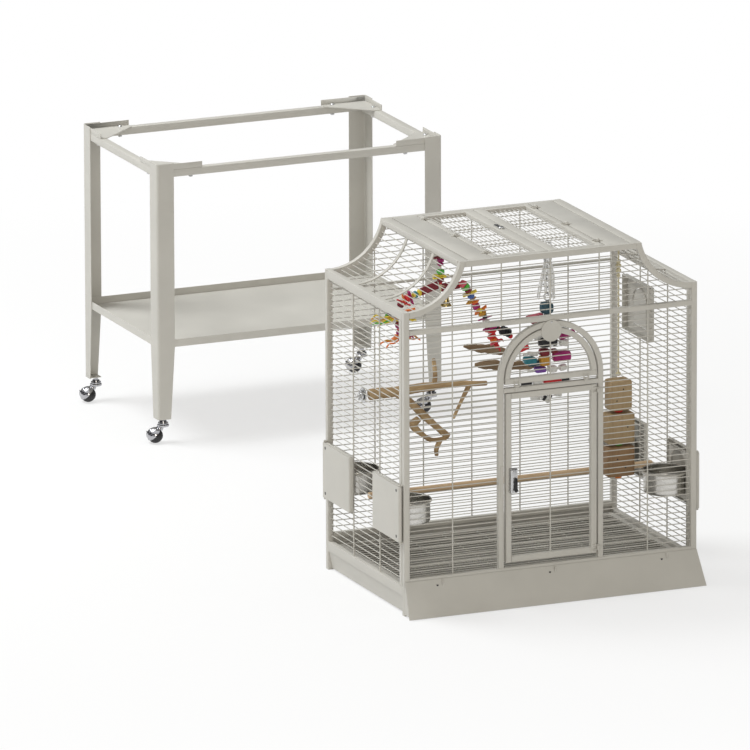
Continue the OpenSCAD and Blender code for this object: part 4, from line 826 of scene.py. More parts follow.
def latch():
    s = Shape(zinc)
    x0, x1, z0, z1 = LATCH_X, LATCH_X + LATCH_W, LATCH_Z, LATCH_Z + LATCH_H
    rings = []
    for y, inset in ((0, 0), (-1.5, 0), (-LATCH_T + 2.5, 0.6), (-LATCH_T + 0.7, 1.6), (-LATCH_T, 3.4)):
        outline = round_rect(x0 + inset, x1 - inset, z0 + inset, z1 - inset, 3.2, 4)
        rings.append([(x, y, z) for x, z in outline])
    s.loft(rings)
    s.lathe(COLLAR, at((LEVER_X, -LATCH_T, LEVER_Z), ("X", 90)), 32)
    for z in (z0 + 7, z1 - 7):
        s.lathe(CASE_SCREW, at((LATCH_X + 6, -LATCH_T, z), ("X", 90)), 20)
    piece("latch_case", s, "main_door", "steel_bright")

    s = Shape(black)
    front = -LATCH_T - 2.3

    def oblong(length, w, y0, y1, ease):
        rings = []
        for y, inset in ((y0, 0), (y0 + (y1 - y0) * 0.55, 0), (y1 - (y1 - y0) * 0.12, ease * 0.4), (y1, ease)):
            r = w / 2 - inset
            outline = fan(r, 0, 180, 10) + fan(r, 180, 360, 10, 0, w - length)
            rings.append([(LEVER_X + u, y, LEVER_Z + v) for u, v in outline])
        s.loft(rings)

    oblong(36, 8, front, front - 6, 2.0)
    s.lathe(LEVER_KNOB, at((LEVER_X, front - 4.4, LEVER_Z - 28), ("X", 90)), 24)
    oblong(LEVER_X - (MID_X - ARCH_R) - 4, 7, TUBE + 1, TUBE + 4, 0.6)
    s.rod((LEVER_X, TUBE + 2, LEVER_Z), (LEVER_X, front - 1, LEVER_Z), 3, 24)
    piece("latch_lever", s, "door_latch", "lever_dark")


# ---- Window ----

DISC = [(0, 0.3), (DISC_R - 0.8, 0.3), (DISC_R, 0.9), (DISC_R, 2.0), (DISC_R - 1, 2.8), (DISC_R - 3, 2.8),
        (DISC_R - 4, 2.55), (0, 2.55)]
DISC_SCREW = [(0, 3.9), (1.2, 3.8), (2.3, 3.2), (2.5, 2.4), (0, 2.4)]


def window():
    s = Shape(coat)
    sill_top = SILL + SILL_H
    low = degrees(asin((sill_top - ARCH_Z) / (WINDOW_R - 7)))
    s.arc(MID_X, ARCH_Z, WINDOW_IN, WINDOW_R, 0, TUBE, low, 180 - low)
    s.tube("x", MID_X - WINDOW_R, MID_X + WINDOW_R, 0, TUBE, SILL, sill_top)
    piece("window_frame", s, "arch_window")
    pins("window_hinge_pins", "arch_window", WINDOW_HINGES)
    lines = []
    for z in rows(sill_top, ARCH_Z + WINDOW_IN):
        half = sqrt(WINDOW_IN**2 - (z + WIRE / 2 - ARCH_Z) ** 2)
        lines.append(across(MID_X - half, MID_X + half, WIRE_C, z))
    wires("window_grille", "arch_window", lines, [upright(MID_X, UPRIGHT_C, sill_top, ARCH_Z + WINDOW_IN)])

    s = Shape(coat)
    facing = at((MID_X, 0, DISC_Z), ("X", 90))
    s.lathe(DISC, facing, 64)
    s.lathe([(3, 0.4), (3, -TUBE - 1), (0, -TUBE - 1)], facing, 24)
    tongue = fan(4, 0, 180, 10, MID_X, DISC_Z) + fan(4, 180, 360, 10, MID_X, DISC_Z - 17)
    s.prism(tongue, "y", TUBE + 0.3, TUBE + 3.3)
    s.use(zinc)
    s.lathe(DISC_SCREW, facing @ at((0, DISC_R - 6, 0)), 20)
    piece("turn_catch", s, "round_catch")


# ---- Roof doors ----

ROOF_BUTTON = [(0, 0.3), (6.6, 0.3), (7, 0.8), (7, 3.6), (5.8, 5), (2.4, 5.3), (0, 5.3)]


def roof_doors():
    x0, x1, y0, y1 = ROOF_DOOR
    z0, wire_z = ROOF_H - ROOF_DOOR_H, ROOF_H - ROOF_DOOR_H / 2
    in_x0, in_x1, in_y0, in_y1 = x0 + TUBE, x1 - ROOF_STILE, y0 + TUBE, y1 - TUBE
    post_z = wire_z - WIRE / 2 - UPRIGHT / 2 - WELD_GAP
    for name, places, side in (("left", ROOF_L_HINGES, SIDES[0]), ("right", ROOF_R_HINGES, SIDES[1])):
        s = Shape(coat)
        s.tube("y", y0, y1, *side(x0, in_x0), z0, ROOF_H)
        s.tube("y", y0, y1, *side(in_x1, x1), z0, ROOF_H)
        for y in (y0, in_y1):
            s.tube("x", *side(in_x0, in_x1), y, y + TUBE, z0, ROOF_H)
        places_x = [side(x, x)[0] for x in rows(in_x0, in_x1, PITCH * 0.8)]
        lines = [[(x, in_y0, wire_z), (x, in_y1, wire_z)] for x in places_x]
        posts = [across(*side(in_x0, in_x1), y, post_z) for y in (CAGE_D / 3, CAGE_D * 2 / 3)]
        wires("roof_door_" + name, name + "_roof_door", lines, posts, s)
        pins("roof_door_" + name + "_pins", name + "_roof_door", places)
    s = Shape(zinc)
    x, y, reach = x1 - ROOF_STILE / 2, 275, ROOF_STILE * 1.3
    s.prism(fan(5, 0, 180, 10, x, y + reach) + [(x - 5, y), (x + 5, y)], "z", ROOF_H + 0.3, ROOF_H + 2.3)
    s.lathe(ROOF_BUTTON, at((x, y, ROOF_H)), 32)
    piece("roof_latch", s, "roof_button", "steel_bright")


# ---- Feeders ----

# Local X, Y and Z of a flat shape become Y, Z and X of the place, set off along X
def facing_x(x, y=0, z=0):
    return Matrix(((0, 0, 1, x), (1, 0, 0, y), (0, 1, 0, z), (0, 0, 0, 1)))


FEEDER_SCREW = [(0, 0.45), (3.2, 0.4), (4.1, 0.2), (4.2, -0.5), (0, -0.5)]
FEEDER_FACE = FEEDER_T - 0.45  # the screws stand proud of it, up to the CAD model's own face


def feeder_door(s):
    top = FEEDER_Z + FEEDER_H
    rim = [(1.55, FEEDER_Z), (4.6, FEEDER_Z), (5, FEEDER_Z + 0.4), (5, top - 0.4), (4.6, top), (1.55, top)]
    s.lathe(rim + rim[:1], at((FEEDER_AXIS, 0, 0)), 32)
    bend, inside = FEEDER_W - 5, FEEDER_T - SHEET
    curl = [(FEEDER_FACE, 0)] + fan(5, 0, 90, 6, FEEDER_FACE - 5, bend)
    inner = fan(3.5, 90, 0, 6, inside - 3.5, bend) + [(inside, 0)]
    s.prism(curl + [(1, FEEDER_W), (1, FEEDER_W - SHEET)] + inner, "z", FEEDER_Z, top)
    end = [(1, 8), (11, 8), (11, FEEDER_W - 4), (7, FEEDER_W - 1), (1, FEEDER_W - 1)]
    for z in (FEEDER_Z, top - SHEET):
        s.prism(end, "z", z, z + SHEET)
    y0, y1, z0, z1 = 23.9, 132.9, FEEDER_Z + 15, top - 8
    s.box(-10.5, 10.5, y0, y1, z1 - SHEET, z1, 0.3)
    hole_r = sqrt(BOWL_R**2 - (BOWL_IN - FEEDER_T + SHEET) ** 2) + 2
    low = BOWL_Z - BOWL_H - 4
    hole = fan(hole_r, 0, 180, 24, BOWL_BACK, BOWL_Z) + [(BOWL_BACK - hole_r, low), (BOWL_BACK + hole_r, low)]
    s.plate([(y0, z0), (y1, z0), (y1, z1), (y0, z1)], hole, SHEET, facing_x(-FEEDER_T))
    a0 = degrees(acos((BOWL_IN - FEEDER_T) / BOWL_R))
    s.torus(at((-BOWL_IN, BOWL_BACK, BOWL_Z - 4.7)), BOWL_R, 2, 44, 10, a0, 360 - a0)
    s.use(black_steel)
    for z in (FEEDER_Z + 13, top - 12):
        s.lathe(FEEDER_SCREW, at((FEEDER_FACE, 13, z), ("Y", 90)), 20)


def bowl(s):
    wall, base, low = BOWL_R - 2.6, 8 - BOWL_H, 1.2 - BOWL_H
    outside = [(0, -BOWL_H), (wall - 10, -BOWL_H)] + fan(8, -90, 0, 6, wall - 8, base)[1:]
    lip = [(wall, -6), (wall + 0.3, -3.2), (BOWL_R - 1.0, -2.4), (BOWL_R - 0.2, -1.8), (BOWL_R, -1.1),
           (BOWL_R - 0.3, -0.3), (BOWL_R - 1.2, 0), (wall - 0.4, -0.2), (wall - 1.2, -1.2)]
    inside = [(wall - 1.2, base)] + fan(6.8, 0, -90, 6, wall - 8, base)[1:] + [(wall - 12, low), (0, low)]
    s.lathe(outside + lip + inside, at((-BOWL_IN, BOWL_BACK, BOWL_Z)), 72)


def feeders():
    for corner, right, back in CORNERS:
        for name, draw, mat, slot in (("feeder_door_", feeder_door, coat, "powder_coat"),
                                      ("bowl_", bowl, bowl_steel, "bowl_steel")):
            s = Shape(mat, feeder_place(right, back))
            draw(s)
            piece(name + corner, s, "feeder_" + corner, slot)


# ---- Nest hatch ----

def nest():
    turn = facing_x(CAGE_W - SHEET, NEST_Y + NEST_W / 2, NEST_Z)
    half = NEST_W / 2

    def outline(r, z0, z1):
        return fan(r, 0, 180, 24, 0, z1 - r) + [(-r, z0), (r, z0)]

    s = Shape(coat)
    opening = outline(NEST_R, 22, NEST_H - 20)
    s.plate([(-half, 0), (half, 0), (half, NEST_H), (-half, NEST_H)], opening, SHEET, turn)
    y0, y1, z0, z1 = NEST_Y, NEST_Y + NEST_W, NEST_Z, NEST_Z + NEST_H
    for box in ((y0, y0 + SHEET, z0, z1), (y1 - SHEET, y1, z0, z1), (y0, y1, z0, z0 + SHEET), (y0, y1, z1 - SHEET, z1)):
        s.box(CAGE_W - TUBE, CAGE_W - 1.4, *box, 0.3)
    lip = [(u, v, -1.2) for u, v in outline(NEST_R + 1.6, 20.4, NEST_H - 18.4)]
    with s.at(turn):
        s.path(lip, 1.5, 10)
        s.path(lip[-2:], 1.5, 10)
    piece("nest_plate", s)
    s = Shape(coat, turn)
    s.prism(outline(NEST_R - SHEET, 23.5, NEST_H - 21.5), "z", 0, SHEET)
    piece("nest_flap", s, "nest_hatch")
    pins("nest_hinge_pins", "nest_hatch", NEST_HINGES)


# ---- Perches ----

CLAMP_WASHER = [(0, 10.1), (19, 10.1), (20, 10.6), (20, 11.9), (19.2, 12.5), (0, 12.5)]
CLAMP_BOLT = [(0, -9), (2.6, -9), (3, -8.4), (3, 11)]
CLAMP_INNER_WASHER = [(0, 4.9), (13, 4.9), (14, 5.4), (14, 7.0), (13, 7.5), (0, 7.5)]
CLAMP_NUT = [(3, -1), (6, -1), (6.5, 1), (6.2, 4.9), (3, 4.9)]
# The branch's limbs, each a line of X, Y, Z and radius
LIMBS = (
    [(WIRE_IN + 17.83, 284, 502, 15), (60, 280, 503, 14.5), (100, 276, 504, 13), (140, 270, 508, 12),
     (180, 266, 510, 12), (215, 262, 512, 9), (250, 258, 512, 9), (300, 253, 509, 7), (334, 250, 507, 6)],
    [(196, 266, 508, 8), (198, 262, 540, 6), (193, 260, 582, 5)],
    [(100, 274, 500, 11), (130, 262, 476, 10), (169, 256, 435, 10), (200, 253, 406, 8.5), (228, 250, 380, 9)],
    [(150, 258, 432, 9), (135, 256, 418, 11), (152, 254, 398, 7), (182, 251, 376, 6), (222, 250, 376, 6)],
    [(206, 250, 372, 7), (196, 250, 352, 6), (197, 250, 334, 5)],
    [(286, 252, 505, 7), (262, 248, 466, 4.6), (240, 245, 427, 4)],
)


def perches():
    s = Shape(dowel_wood)
    x0, r = WIRE_IN + WELD_GAP, 8.5
    length = CAGE_W - 2 * x0
    shaft = [(r, length * i / 12) for i in range(1, 12)]
    ends = [(0, 0), (6.5, 0), (8, 1.2), (r, 3)], [(r, length - 3), (8, length - 1.2), (6.5, length), (0, length)]
    s.lathe(ends[0] + shaft + ends[1], at((x0, CAGE_D / 2, 250), ("Y", 90)), 40)
    piece("dowel_perch", s, ROOT, "dowel_wood")

    s = Shape(zinc, at((0, 284, 502), ("Y", 90)))
    for profile, n in ((CLAMP_WASHER, 48), (CLAMP_BOLT, 20), (CLAMP_INNER_WASHER, 40), (CLAMP_NUT, 24)):
        s.lathe(profile, n=n)
    for turn in (-90, 90):
        with s.at(at((0, 0, 0), ("Z", turn))):
            s.path([(0, 4, 2), (0, 8, 1), (0, 11.5, -1)], [2.0, 2.6, 1.6], 10)
    piece("branch_clamp", s, ROOT, "steel_bright")


def limb(s, knots, rng, n=18, fine=6):
    """A branch curved through its knots, with bumps along it."""
    points, radii = [], []
    for k in range(len(knots) - 1):
        p0, p1, p2, p3 = (Vector(knots[min(max(i, 0), len(knots) - 1)][:3]) for i in (k - 1, k, k + 1, k + 2))
        for i in range(fine):
            t = i / fine
            bend = (2 * p0 - 5 * p1 + 4 * p2 - p3) * t * t + (3 * p1 - p0 - 3 * p2 + p3) * t**3
            points.append(0.5 * (2 * p1 + (p2 - p0) * t + bend))
            radii.append((knots[k][3] * (1 - t) + knots[k + 1][3] * t) * (1 + rng.uniform(-0.05, 0.05)))
    points.append(Vector(knots[-1][:3]))
    radii.append(knots[-1][3])
    first, last = (points[1] - points[0]).normalized(), (points[-1] - points[-2]).normalized()
    points = [points[0] - first * radii[0] * 0.25] + points + [points[-1] + last * radii[-1] * 0.2]
    radii = [radii[0] * 0.72] + radii + [radii[-1] * 0.7]
    start = len(s.bm.verts)
    s.path(points, radii, n)
    s.bm.verts.ensure_lookup_table()
    phase = rng.uniform(0, 6)
    for v in s.bm.verts[start:]:
        centre = min(points, key=lambda p: (p - v.co).length_squared)
        ripple = 1 + 0.05 * sin(v.co.x * 0.11 + phase + 3 * atan2(v.co.z - centre.z, v.co.y - centre.y))
        v.co = centre + (v.co - centre) * ripple


def branch():
    rng = random.Random(7)
    s = Shape(branch_wood)
    for knots in LIMBS:
        limb(s, knots, rng)
    piece("branch_perch", s, ROOT, "branch_wood", 60, subdivide=1)

    s = Shape(bark)
    thick = 13
    y = CAGE_D - WIRE_IN - WELD_GAP - thick / 2
    for cx, cz, long, high, slope in ((441, 529, 69, 11, 13), (488, 482, 84, 12, 7)):
        rings = []
        for i in range(33):
            t = -1 + i / 16
            half = max(0.12, 1 - abs(t) ** 3.2) ** 0.5 * (1 + 0.09 * sin(4 * t + cx) + 0.05 * sin(17 * t))
            drift = 1.2 * sin(6 * t + cz) * (1 - t * t)
            ring = []
            for u, v in circle(1, 20):
                ragged = 1 + 0.06 * sin(13 * t + 4 * u) + rng.uniform(-0.05, 0.05)
                flat = copysign(abs(u) ** 0.6, u)
                ring.append((long * t, thick / 2 * flat * min(1, half * 1.3), high * v * half * ragged + drift))
            rings.append(ring)
        with s.at(at((cx, y, cz), ("Y", slope))):
            s.loft(rings)
    piece("bark_slabs", s, ROOT, "bark", 50)


# ---- Toys ----

def block(s, x, y, z0, w, d, h, r):
    s.box(x - w / 2, x + w / 2, y - d / 2, y + d / 2, z0, z0 + h, r)


def chain(x, y, top, count):
    """Links that hang from a height, each turned a quarter, and the height of their lower end."""
    big, thin = 10, 1.75
    step = 2 * (big - thin) - 0.3
    link = Shape(zinc)
    link.torus(at((0, 0, 0), ("X", 90)), big, thin, 28, 10)
    places = [((x, y, top - big - thin - i * step), (0, 0, radians(90 * (i % 2)))) for i in range(count)]
    return repeated(link, places), top - 2 * (big + thin) - (count - 1) * step


def drum(r, h, full, inner):
    """A bead's profile: wide up to a share of its half height, narrower to a share of its radius at its ends."""
    edge, end = h * full / 2, h / 2
    return [(0, -end), (r * inner, -end), (r, -edge), (r, edge), (r * inner, end), (0, end)]


def bead(s, x, y, z, r, h, mat, n=24):
    s.use(mat)
    side = [(r * 0.55, h / 2), (r * 0.9, h * 0.3), (r, 0), (r * 0.9, -h * 0.3), (r * 0.55, -h / 2)]
    s.lathe([(0, h / 2)] + side + [(0, -h / 2)], at((x, y, z)), n)


def slat(s, x, y, z, w, d, h, colour, tilt=0.0, yaw=0.0, ease=None):
    """A block or thin slat centred on a place, tilted in the front view."""
    s.use(DYES[colour])
    with s.at(at((x, y, z), ("Z", yaw), ("Y", -tilt))):
        block(s, 0, 0, -h / 2, w, d, h, min(w, d, h) * 0.24 if ease is None else ease)


# The block toy's pieces: across, deep and down from the chain's end, width, depth, height, colour, tilt
BLOCKS = (
    (-3, 0, 17, 32, 30, 29, "navy", 0), (-33, 6, 38, 42, 20, 9, "rose", 8), (-30, -8, 52, 40, 22, 4, "maroon", -9),
    (0, 0, 45, 20, 20, 26, "white", 0), (10, 3, 74, 26, 24, 26, "black", 0), (34, -4, 68, 24, 22, 24, "white", 0),
    (52, 0, 92, 44, 18, 15, "magenta", 14), (-26, 6, 88, 22, 22, 20, "white", 8),
    (-9, -3, 105, 33, 26, 24, "black", 0), (18, 2, 107, 15, 20, 20, "black", 0),
    (44, 0, 112, 24, 18, 16, "white", -12), (-66, 0, 115, 26, 18, 11, "red", 18),
    (-9, 0, 131, 26, 24, 17, "maroon", 0), (18, 0, 131, 15, 18, 12, "maroon", 0),
    (-40, 3, 133, 26, 16, 9, "white", -10), (-51, -4, 147, 32, 26, 18, "teal", -4),
    (-37, 6, 157, 31, 24, 13, "navy", 5), (-10, -3, 152, 30, 26, 26, "amber", 0),
    (38, 0, 146, 48, 26, 26, "magenta", 0), (-20, 2, 175, 29, 22, 15, "purple", 0),
    (12, -2, 176, 22, 20, 17, "white", 0), (42, 2, 176, 20, 18, 15, "white", 10),
    (12, 0, 208, 47, 18, 9, "red", -2), (48, 2, 208, 20, 16, 8, "black", 6), (-60, 0, 207, 29, 16, 8, "black", 4),
    (-28, 2, 205, 24, 18, 15, "white", 0), (-34, 0, 247, 24, 14, 11, "white", 4), (28, 0, 244, 18, 14, 10, "white", -8),
)
# Its cross cords: down from the chain's end, reach to the left
CROSS_CORDS = ((74, 46), (107, 60), (131, 62), (150, 62), (176, 50), (208, 72), (246, 38))
# Its lowest beads: across, down, colour
LOW_BEADS = ((-20, 245, "white"), (-11, 245, "black"), (-3, 245, "white"), (4, 245, "black"), (-14, 250, "black"),
             (-6, 250, "white"))


def block_toy():
    x, y = 449, 132
    links, low = chain(x, y, ROOF_H - 6 - WIRE / 2 - 0.3, 9)
    white = DYES["white"]
    s = Shape(white)
    for dx, dy, down, w, d, h, colour, tilt in BLOCKS:
        slat(s, x + dx, y + dy, low - down, w, d, h, colour, tilt, 0, min(w, d, h) * 0.28)
    s.use(white)
    for down, w in CROSS_CORDS:
        x0, x1, z = x - w, x + w * 0.8, low - down
        s.rod((x0, y, z), (x1, y, z), 1.3, 8)
        bead(s, x0 - 2, y, z, 4, 6, white, 12)
        bead(s, x1 + 2, y, z, 4, 6, white, 12)
    s.rod((x, y, low), (x, y, low - 262), 1.6, 8)
    for dx, down, colour in LOW_BEADS:
        bead(s, x + dx, y - 8, low - down, 4.6, 7, DYES[colour], 14)
    bead(s, x, y, low - 258, 6, 10, white, 18)
    s.use(clear_strip)
    for k in range(9):
        a, out = 2 * pi * k / 9 + 0.3, 22 + 10 * sin(2.3 * k)
        droop = (4, 122), (9, 96), (14, 66), (out * 0.8, 34), (out, 6)
        s.path([(x + r * cos(a), y + r * sin(a), low + up) for r, up in droop], [1.0, 2.2, 3.4, 3.4, 1.4], 6)
    show("block_toy", merge(links, mesh_of(s)), "block_chain", "toy_blocks", 40)


NAIL = [(0, 0.25), (1.9, 0.2), (2.3, -0.6), (0, -0.6)]
# Across and up each block of the wood toy, from the top one down
NAILS = (((4, 0.72), (-14, 0.35)), ((16, 0.55), (-8, 0.8)), ((10, 0.3), (-12, 0.6)))


def wood_toy():
    x, z = cove_wire(8)
    x, y = CAGE_W - x, 185
    length, w, depth, h, gap, lay = 330, 74, 46, 78, 7.8, 1.35
    s = Shape(zinc)
    s.torus(at((x, y, z), ("X", 90)), WIRE + 0.3, WIRE / 2, 28, 10)
    s.use(hemp)
    for k in range(3):
        strand = []
        for i in range(100):
            a = 2 * pi * (i / 9 + k / 3)
            strand.append((x + lay * cos(a), y + lay * sin(a), z - 2.8 - (length - 3) * i / 99))
        s.path(strand, 1.3, 6)
    for down, r, tall in ((34, 5.5, 9), (44, 7.5, 11), (57, 7, 12), (69, 5, 9), (length - 6, 7, 9)):
        bead(s, x, y, z - down, r, tall, hemp, 14)
    for i in range(3):
        z0 = z - length - (i + 1) * (h + gap)
        s.use(dark_wood if i == 2 else block_wood)
        block(s, x, y, z0, w if i else w * 0.8, depth, h, 5.5)
        s.use(DYES["black"])
        for dx, up in NAILS[i]:
            s.lathe(NAIL, at((x + dx, y - depth / 2, z0 + h * up), ("X", 90)), 14)
        if i < 2:
            bead(s, x, y, z0 - gap / 2, 12, gap, DYES[("red", "green")[i]])
    bead(s, x, y, z0 - 5, 9, 10, DYES["orange"])
    piece("wood_toy", s, "wood_block_toy", "toy_wood")


# The beaded rope from one tasselled end, over its strand, to the other, in X and Z
GARLAND = ((364, 597), (346, 630), (335, 658), (328, 684), (309, 703), (296, 724), (286, 750), (268, 771), (226, 768),
           (200, 775), (152, 761), (104, 744), (93, 722), (91, 703), (95, 672), (98, 646))
# Its pieces in order, each a share of the cord as long as its kind's
SHARES = {"slat": 6, "thin": 5, "bead": 10, "block": 11, "small": 5, "board": 40, "gap": 13}
STRUNG = """pink thin, red slat, pink thin, orange bead, red block, white small, red slat, magenta slat, maroon block,
    white bead, magenta slat, black slat, amber block, orange slat, yellow slat, magenta block, red small, orange slat,
    amber slat, blue bead, yellow slat, maroon bead, green block, pink block, red small, maroon board, red gap,
    maroon board, yellow bead, teal bead, yellow slat, magenta slat, red block, orange slat, red slat, maroon bead,
    black slat, yellow slat, green bead, orange slat, yellow small, maroon slat, magenta bead, red small, magenta bead,
    orange slat, magenta thin"""
# The strand that it hangs by, from the top: height, colour, width, thickness
STRAND_X = 208
STRAND = ((848, "maroon", 40, 3.4), (838, "magenta", 15, 9), (828, "magenta", 13, 8), (817, "white", 7, 5),
          (809, "green", 17, 11), (799, "yellow", 42, 3.4), (794, "yellow", 34, 3.4), (787, "maroon", 15, 10),
          (779, "red", 9, 5))
# Paper curls: colour, start, reach along X and fall
CURLS = (("yellow", 70, 702, -54, 6), ("yellow", 66, 708, -44, -3), ("green", 72, 699, -50, 9),
         ("amber", 74, 706, -58, 3), ("yellow", 78, 700, -40, 16), ("orange", 112, 714, 34, 2),
         ("red", 114, 710, 32, -5), ("yellow", 112, 702, 28, 14), ("orange", 92, 652, -52, 15),
         ("amber", 96, 650, -44, 6), ("orange", 94, 646, -34, 18), ("orange", 110, 650, 44, 12),
         ("amber", 110, 648, 46, 3), ("magenta", 112, 656, 26, 10), ("red", 345, 632, 34, 22),
         ("red", 350, 622, 20, 36))
# Loose slats of the two left tassels: across, up, width, height, colour, tilt
TASSEL = ((76, 714, 27, 8, "black", 22), (66, 707, 12, 13, "green", -20), (62, 701, 18, 8, "yellow", 35),
          (71, 698, 12, 12, "yellow", 10), (127, 714, 30, 9, "orange", 14), (135, 709, 27, 5, "red", -8),
          (124, 703, 14, 10, "magenta", 0), (129, 698, 12, 13, "yellow", 12), (117, 687, 11, 10, "green", -15),
          (119, 657, 16, 12, "magenta", 10), (127, 650, 22, 5, "magenta", 30), (84, 648, 20, 6, "orange", 20))
# The side strand, and its discs: across, up, colour, radius, thickness
SIDE = ((336, 662), (352, 655), (366, 646), (380, 638), (394, 631), (399, 622))
DISCS = ((345, 658, "white", 8, 9), (357, 651, "black", 11, 12), (367, 645, "maroon", 6, 6), (377, 640, "black", 12, 8),
         (385, 636, "black", 12, 7), (394, 631, "black", 11, 8), (399, 622, "red", 6, 9))
BELL_X, BELL_Z = 223, 720
BELL = [(0, 29), (3.5, 28.6), (6, 27), (7, 24), (7.6, 18), (9, 10), (12, 3.4), (14, 0.4), (14, -0.6), (12.9, -0.4),
        (11, 2.8), (8, 9.6), (6.4, 18), (5.8, 24), (0, 27)]
CLAPPER = [(0, 7), (3, 5.6), (4, 3), (3, 0.4), (0, -1)]


def string_beads(s, points, rng):
    """The garland's pieces, one after the other along the cord."""
    legs = [(b - a).length for a, b in zip(points, points[1:])]
    pieces = [item.split() for item in STRUNG.split(",")]
    unit = sum(legs) / sum(SHARES[kind] for _, kind in pieces)
    done = 0.0
    for colour, kind in pieces:
        step = SHARES[kind] * unit
        d = done + step / 2
        done += step
        for a, b, leg in zip(points, points[1:], legs):
            if d <= leg:
                break
            d -= leg
        place = at(a + (b - a).normalized() * d) @ (b - a).to_track_quat("Z", "Y").to_matrix().to_4x4()
        s.use(DYES[colour])
        if kind == "board":
            with s.at(place @ Matrix.Rotation(rng.uniform(-0.25, 0.25), 4, "Z")):
                block(s, 0, 0, -step * 0.56, 5, 21, step * 1.12, 1.6)
            continue
        spin, lean = rng.uniform(0, 6.3), rng.uniform(-0.3, 0.3)
        with s.at(place @ Matrix.Rotation(spin, 4, "Z") @ Matrix.Rotation(lean, 4, "X")):
            if kind in ("slat", "thin"):
                block(s, rng.uniform(-6, 6), 0, -2.2, 38 if kind == "slat" else 30, 11, 3.8, 1.2)
            elif kind in ("bead", "small"):
                s.lathe(drum(9 if kind == "bead" else 6, step * 0.92, 0.4 / 0.92, 0.6), n=22)
            elif kind == "block":
                block(s, 0, 0, -step * 0.44, 19, 17, step * 0.88, 2.6)


def rope_toy():
    rng = random.Random(11)
    y = CAGE_D / 2
    points = [Vector((x, y, z)) for x, z in GARLAND]
    s = Shape(hemp)
    s.path(points, 2.2, 8)
    s.path([(STRAND_X, y, ROOF_H - 4), (STRAND_X + 1, y, 757)], 2.0, 8)
    s.path([(x, y, z) for x, z in SIDE], 1.6, 8)
    string_beads(s, points, rng)
    for z, colour, w, h in STRAND:
        if h < 4:
            slat(s, STRAND_X + rng.uniform(-3, 3), y, z, w, 12, h, colour, rng.uniform(-7, 7), rng.uniform(-20, 20))
        elif w < 10:
            bead(s, STRAND_X, y, z, w / 2, h, DYES[colour])
        else:
            slat(s, STRAND_X, y, z, w, w, h, colour)
    for colour, x, z, reach, fall in CURLS:
        s.use(DYES[colour])
        lift, swing = rng.uniform(3, 6), rng.uniform(0, 3)
        line = []
        for u in (k / 14 for k in range(15)):
            wave = lift * sin(9 * u + swing) * u
            line.append((x + reach * u, y - 6 * sin(2.4 * u + swing), z - fall * u + wave))
        s.path(line, [2.2] * 14 + [0.8], 6)
    for x, z, w, h, colour, tilt in TASSEL:
        slat(s, x, y + rng.uniform(-7, 7), z, w, 11, h, colour, tilt, rng.uniform(-30, 30), 1.4)
    for x, z, colour, r, h in DISCS:
        s.use(DYES[colour])
        s.lathe(drum(r, h, 0.5, 0.8), at((x, y, z), ("Y", 118)), 26)
    s.use(brass)
    with s.at(at((BELL_X, y, BELL_Z))):
        s.torus(at((0, 0, 35), ("X", 90)) @ Matrix.Diagonal((1, 1.4, 1, 1)), 5, 0.9, 24, 8)
        s.lathe(BELL, n=40)
        s.lathe(CLAPPER, at((0, 0, -3)), 20)
        s.rod((0, 0, 2), (0, 0, 27), 0.7, 8)
    piece("rope_toy", s, ROOT, "toy_rope")


# ---- Stand ----

BOLT = [(0, 4), (2.2, 3.7), (4.4, 2.6), (5.7, 1.0), (6, 0), (3, 0), (3, -28), (0, -28)]
BOLT_PLACES = ((100, 12), (12, 82))


def stand_place(right, back):
    """X and Y point inwards from a corner of the stand."""
    corner = Matrix.Translation((right * STAND_W, back * STAND_D, 0))
    return corner @ Matrix.Diagonal((-1 if right else 1, -1 if back else 1, 1, 1))


def leg_section(z):
    k = max(0, LEG_KINK - z) / (LEG_KINK - LEG_FOOT)
    a, b = LEG_W - (LEG_W - 36) * k, LEG_W - (LEG_W - 35) * k
    outer, inner = fan(LEG_R, 270, 180, 8, LEG_R, LEG_R), fan(LEG_R - LEG_T, 180, 270, 8, LEG_R, LEG_R)
    return [(a, 0)] + outer + [(0, b), (LEG_T, b)] + inner + [(a, LEG_T)]


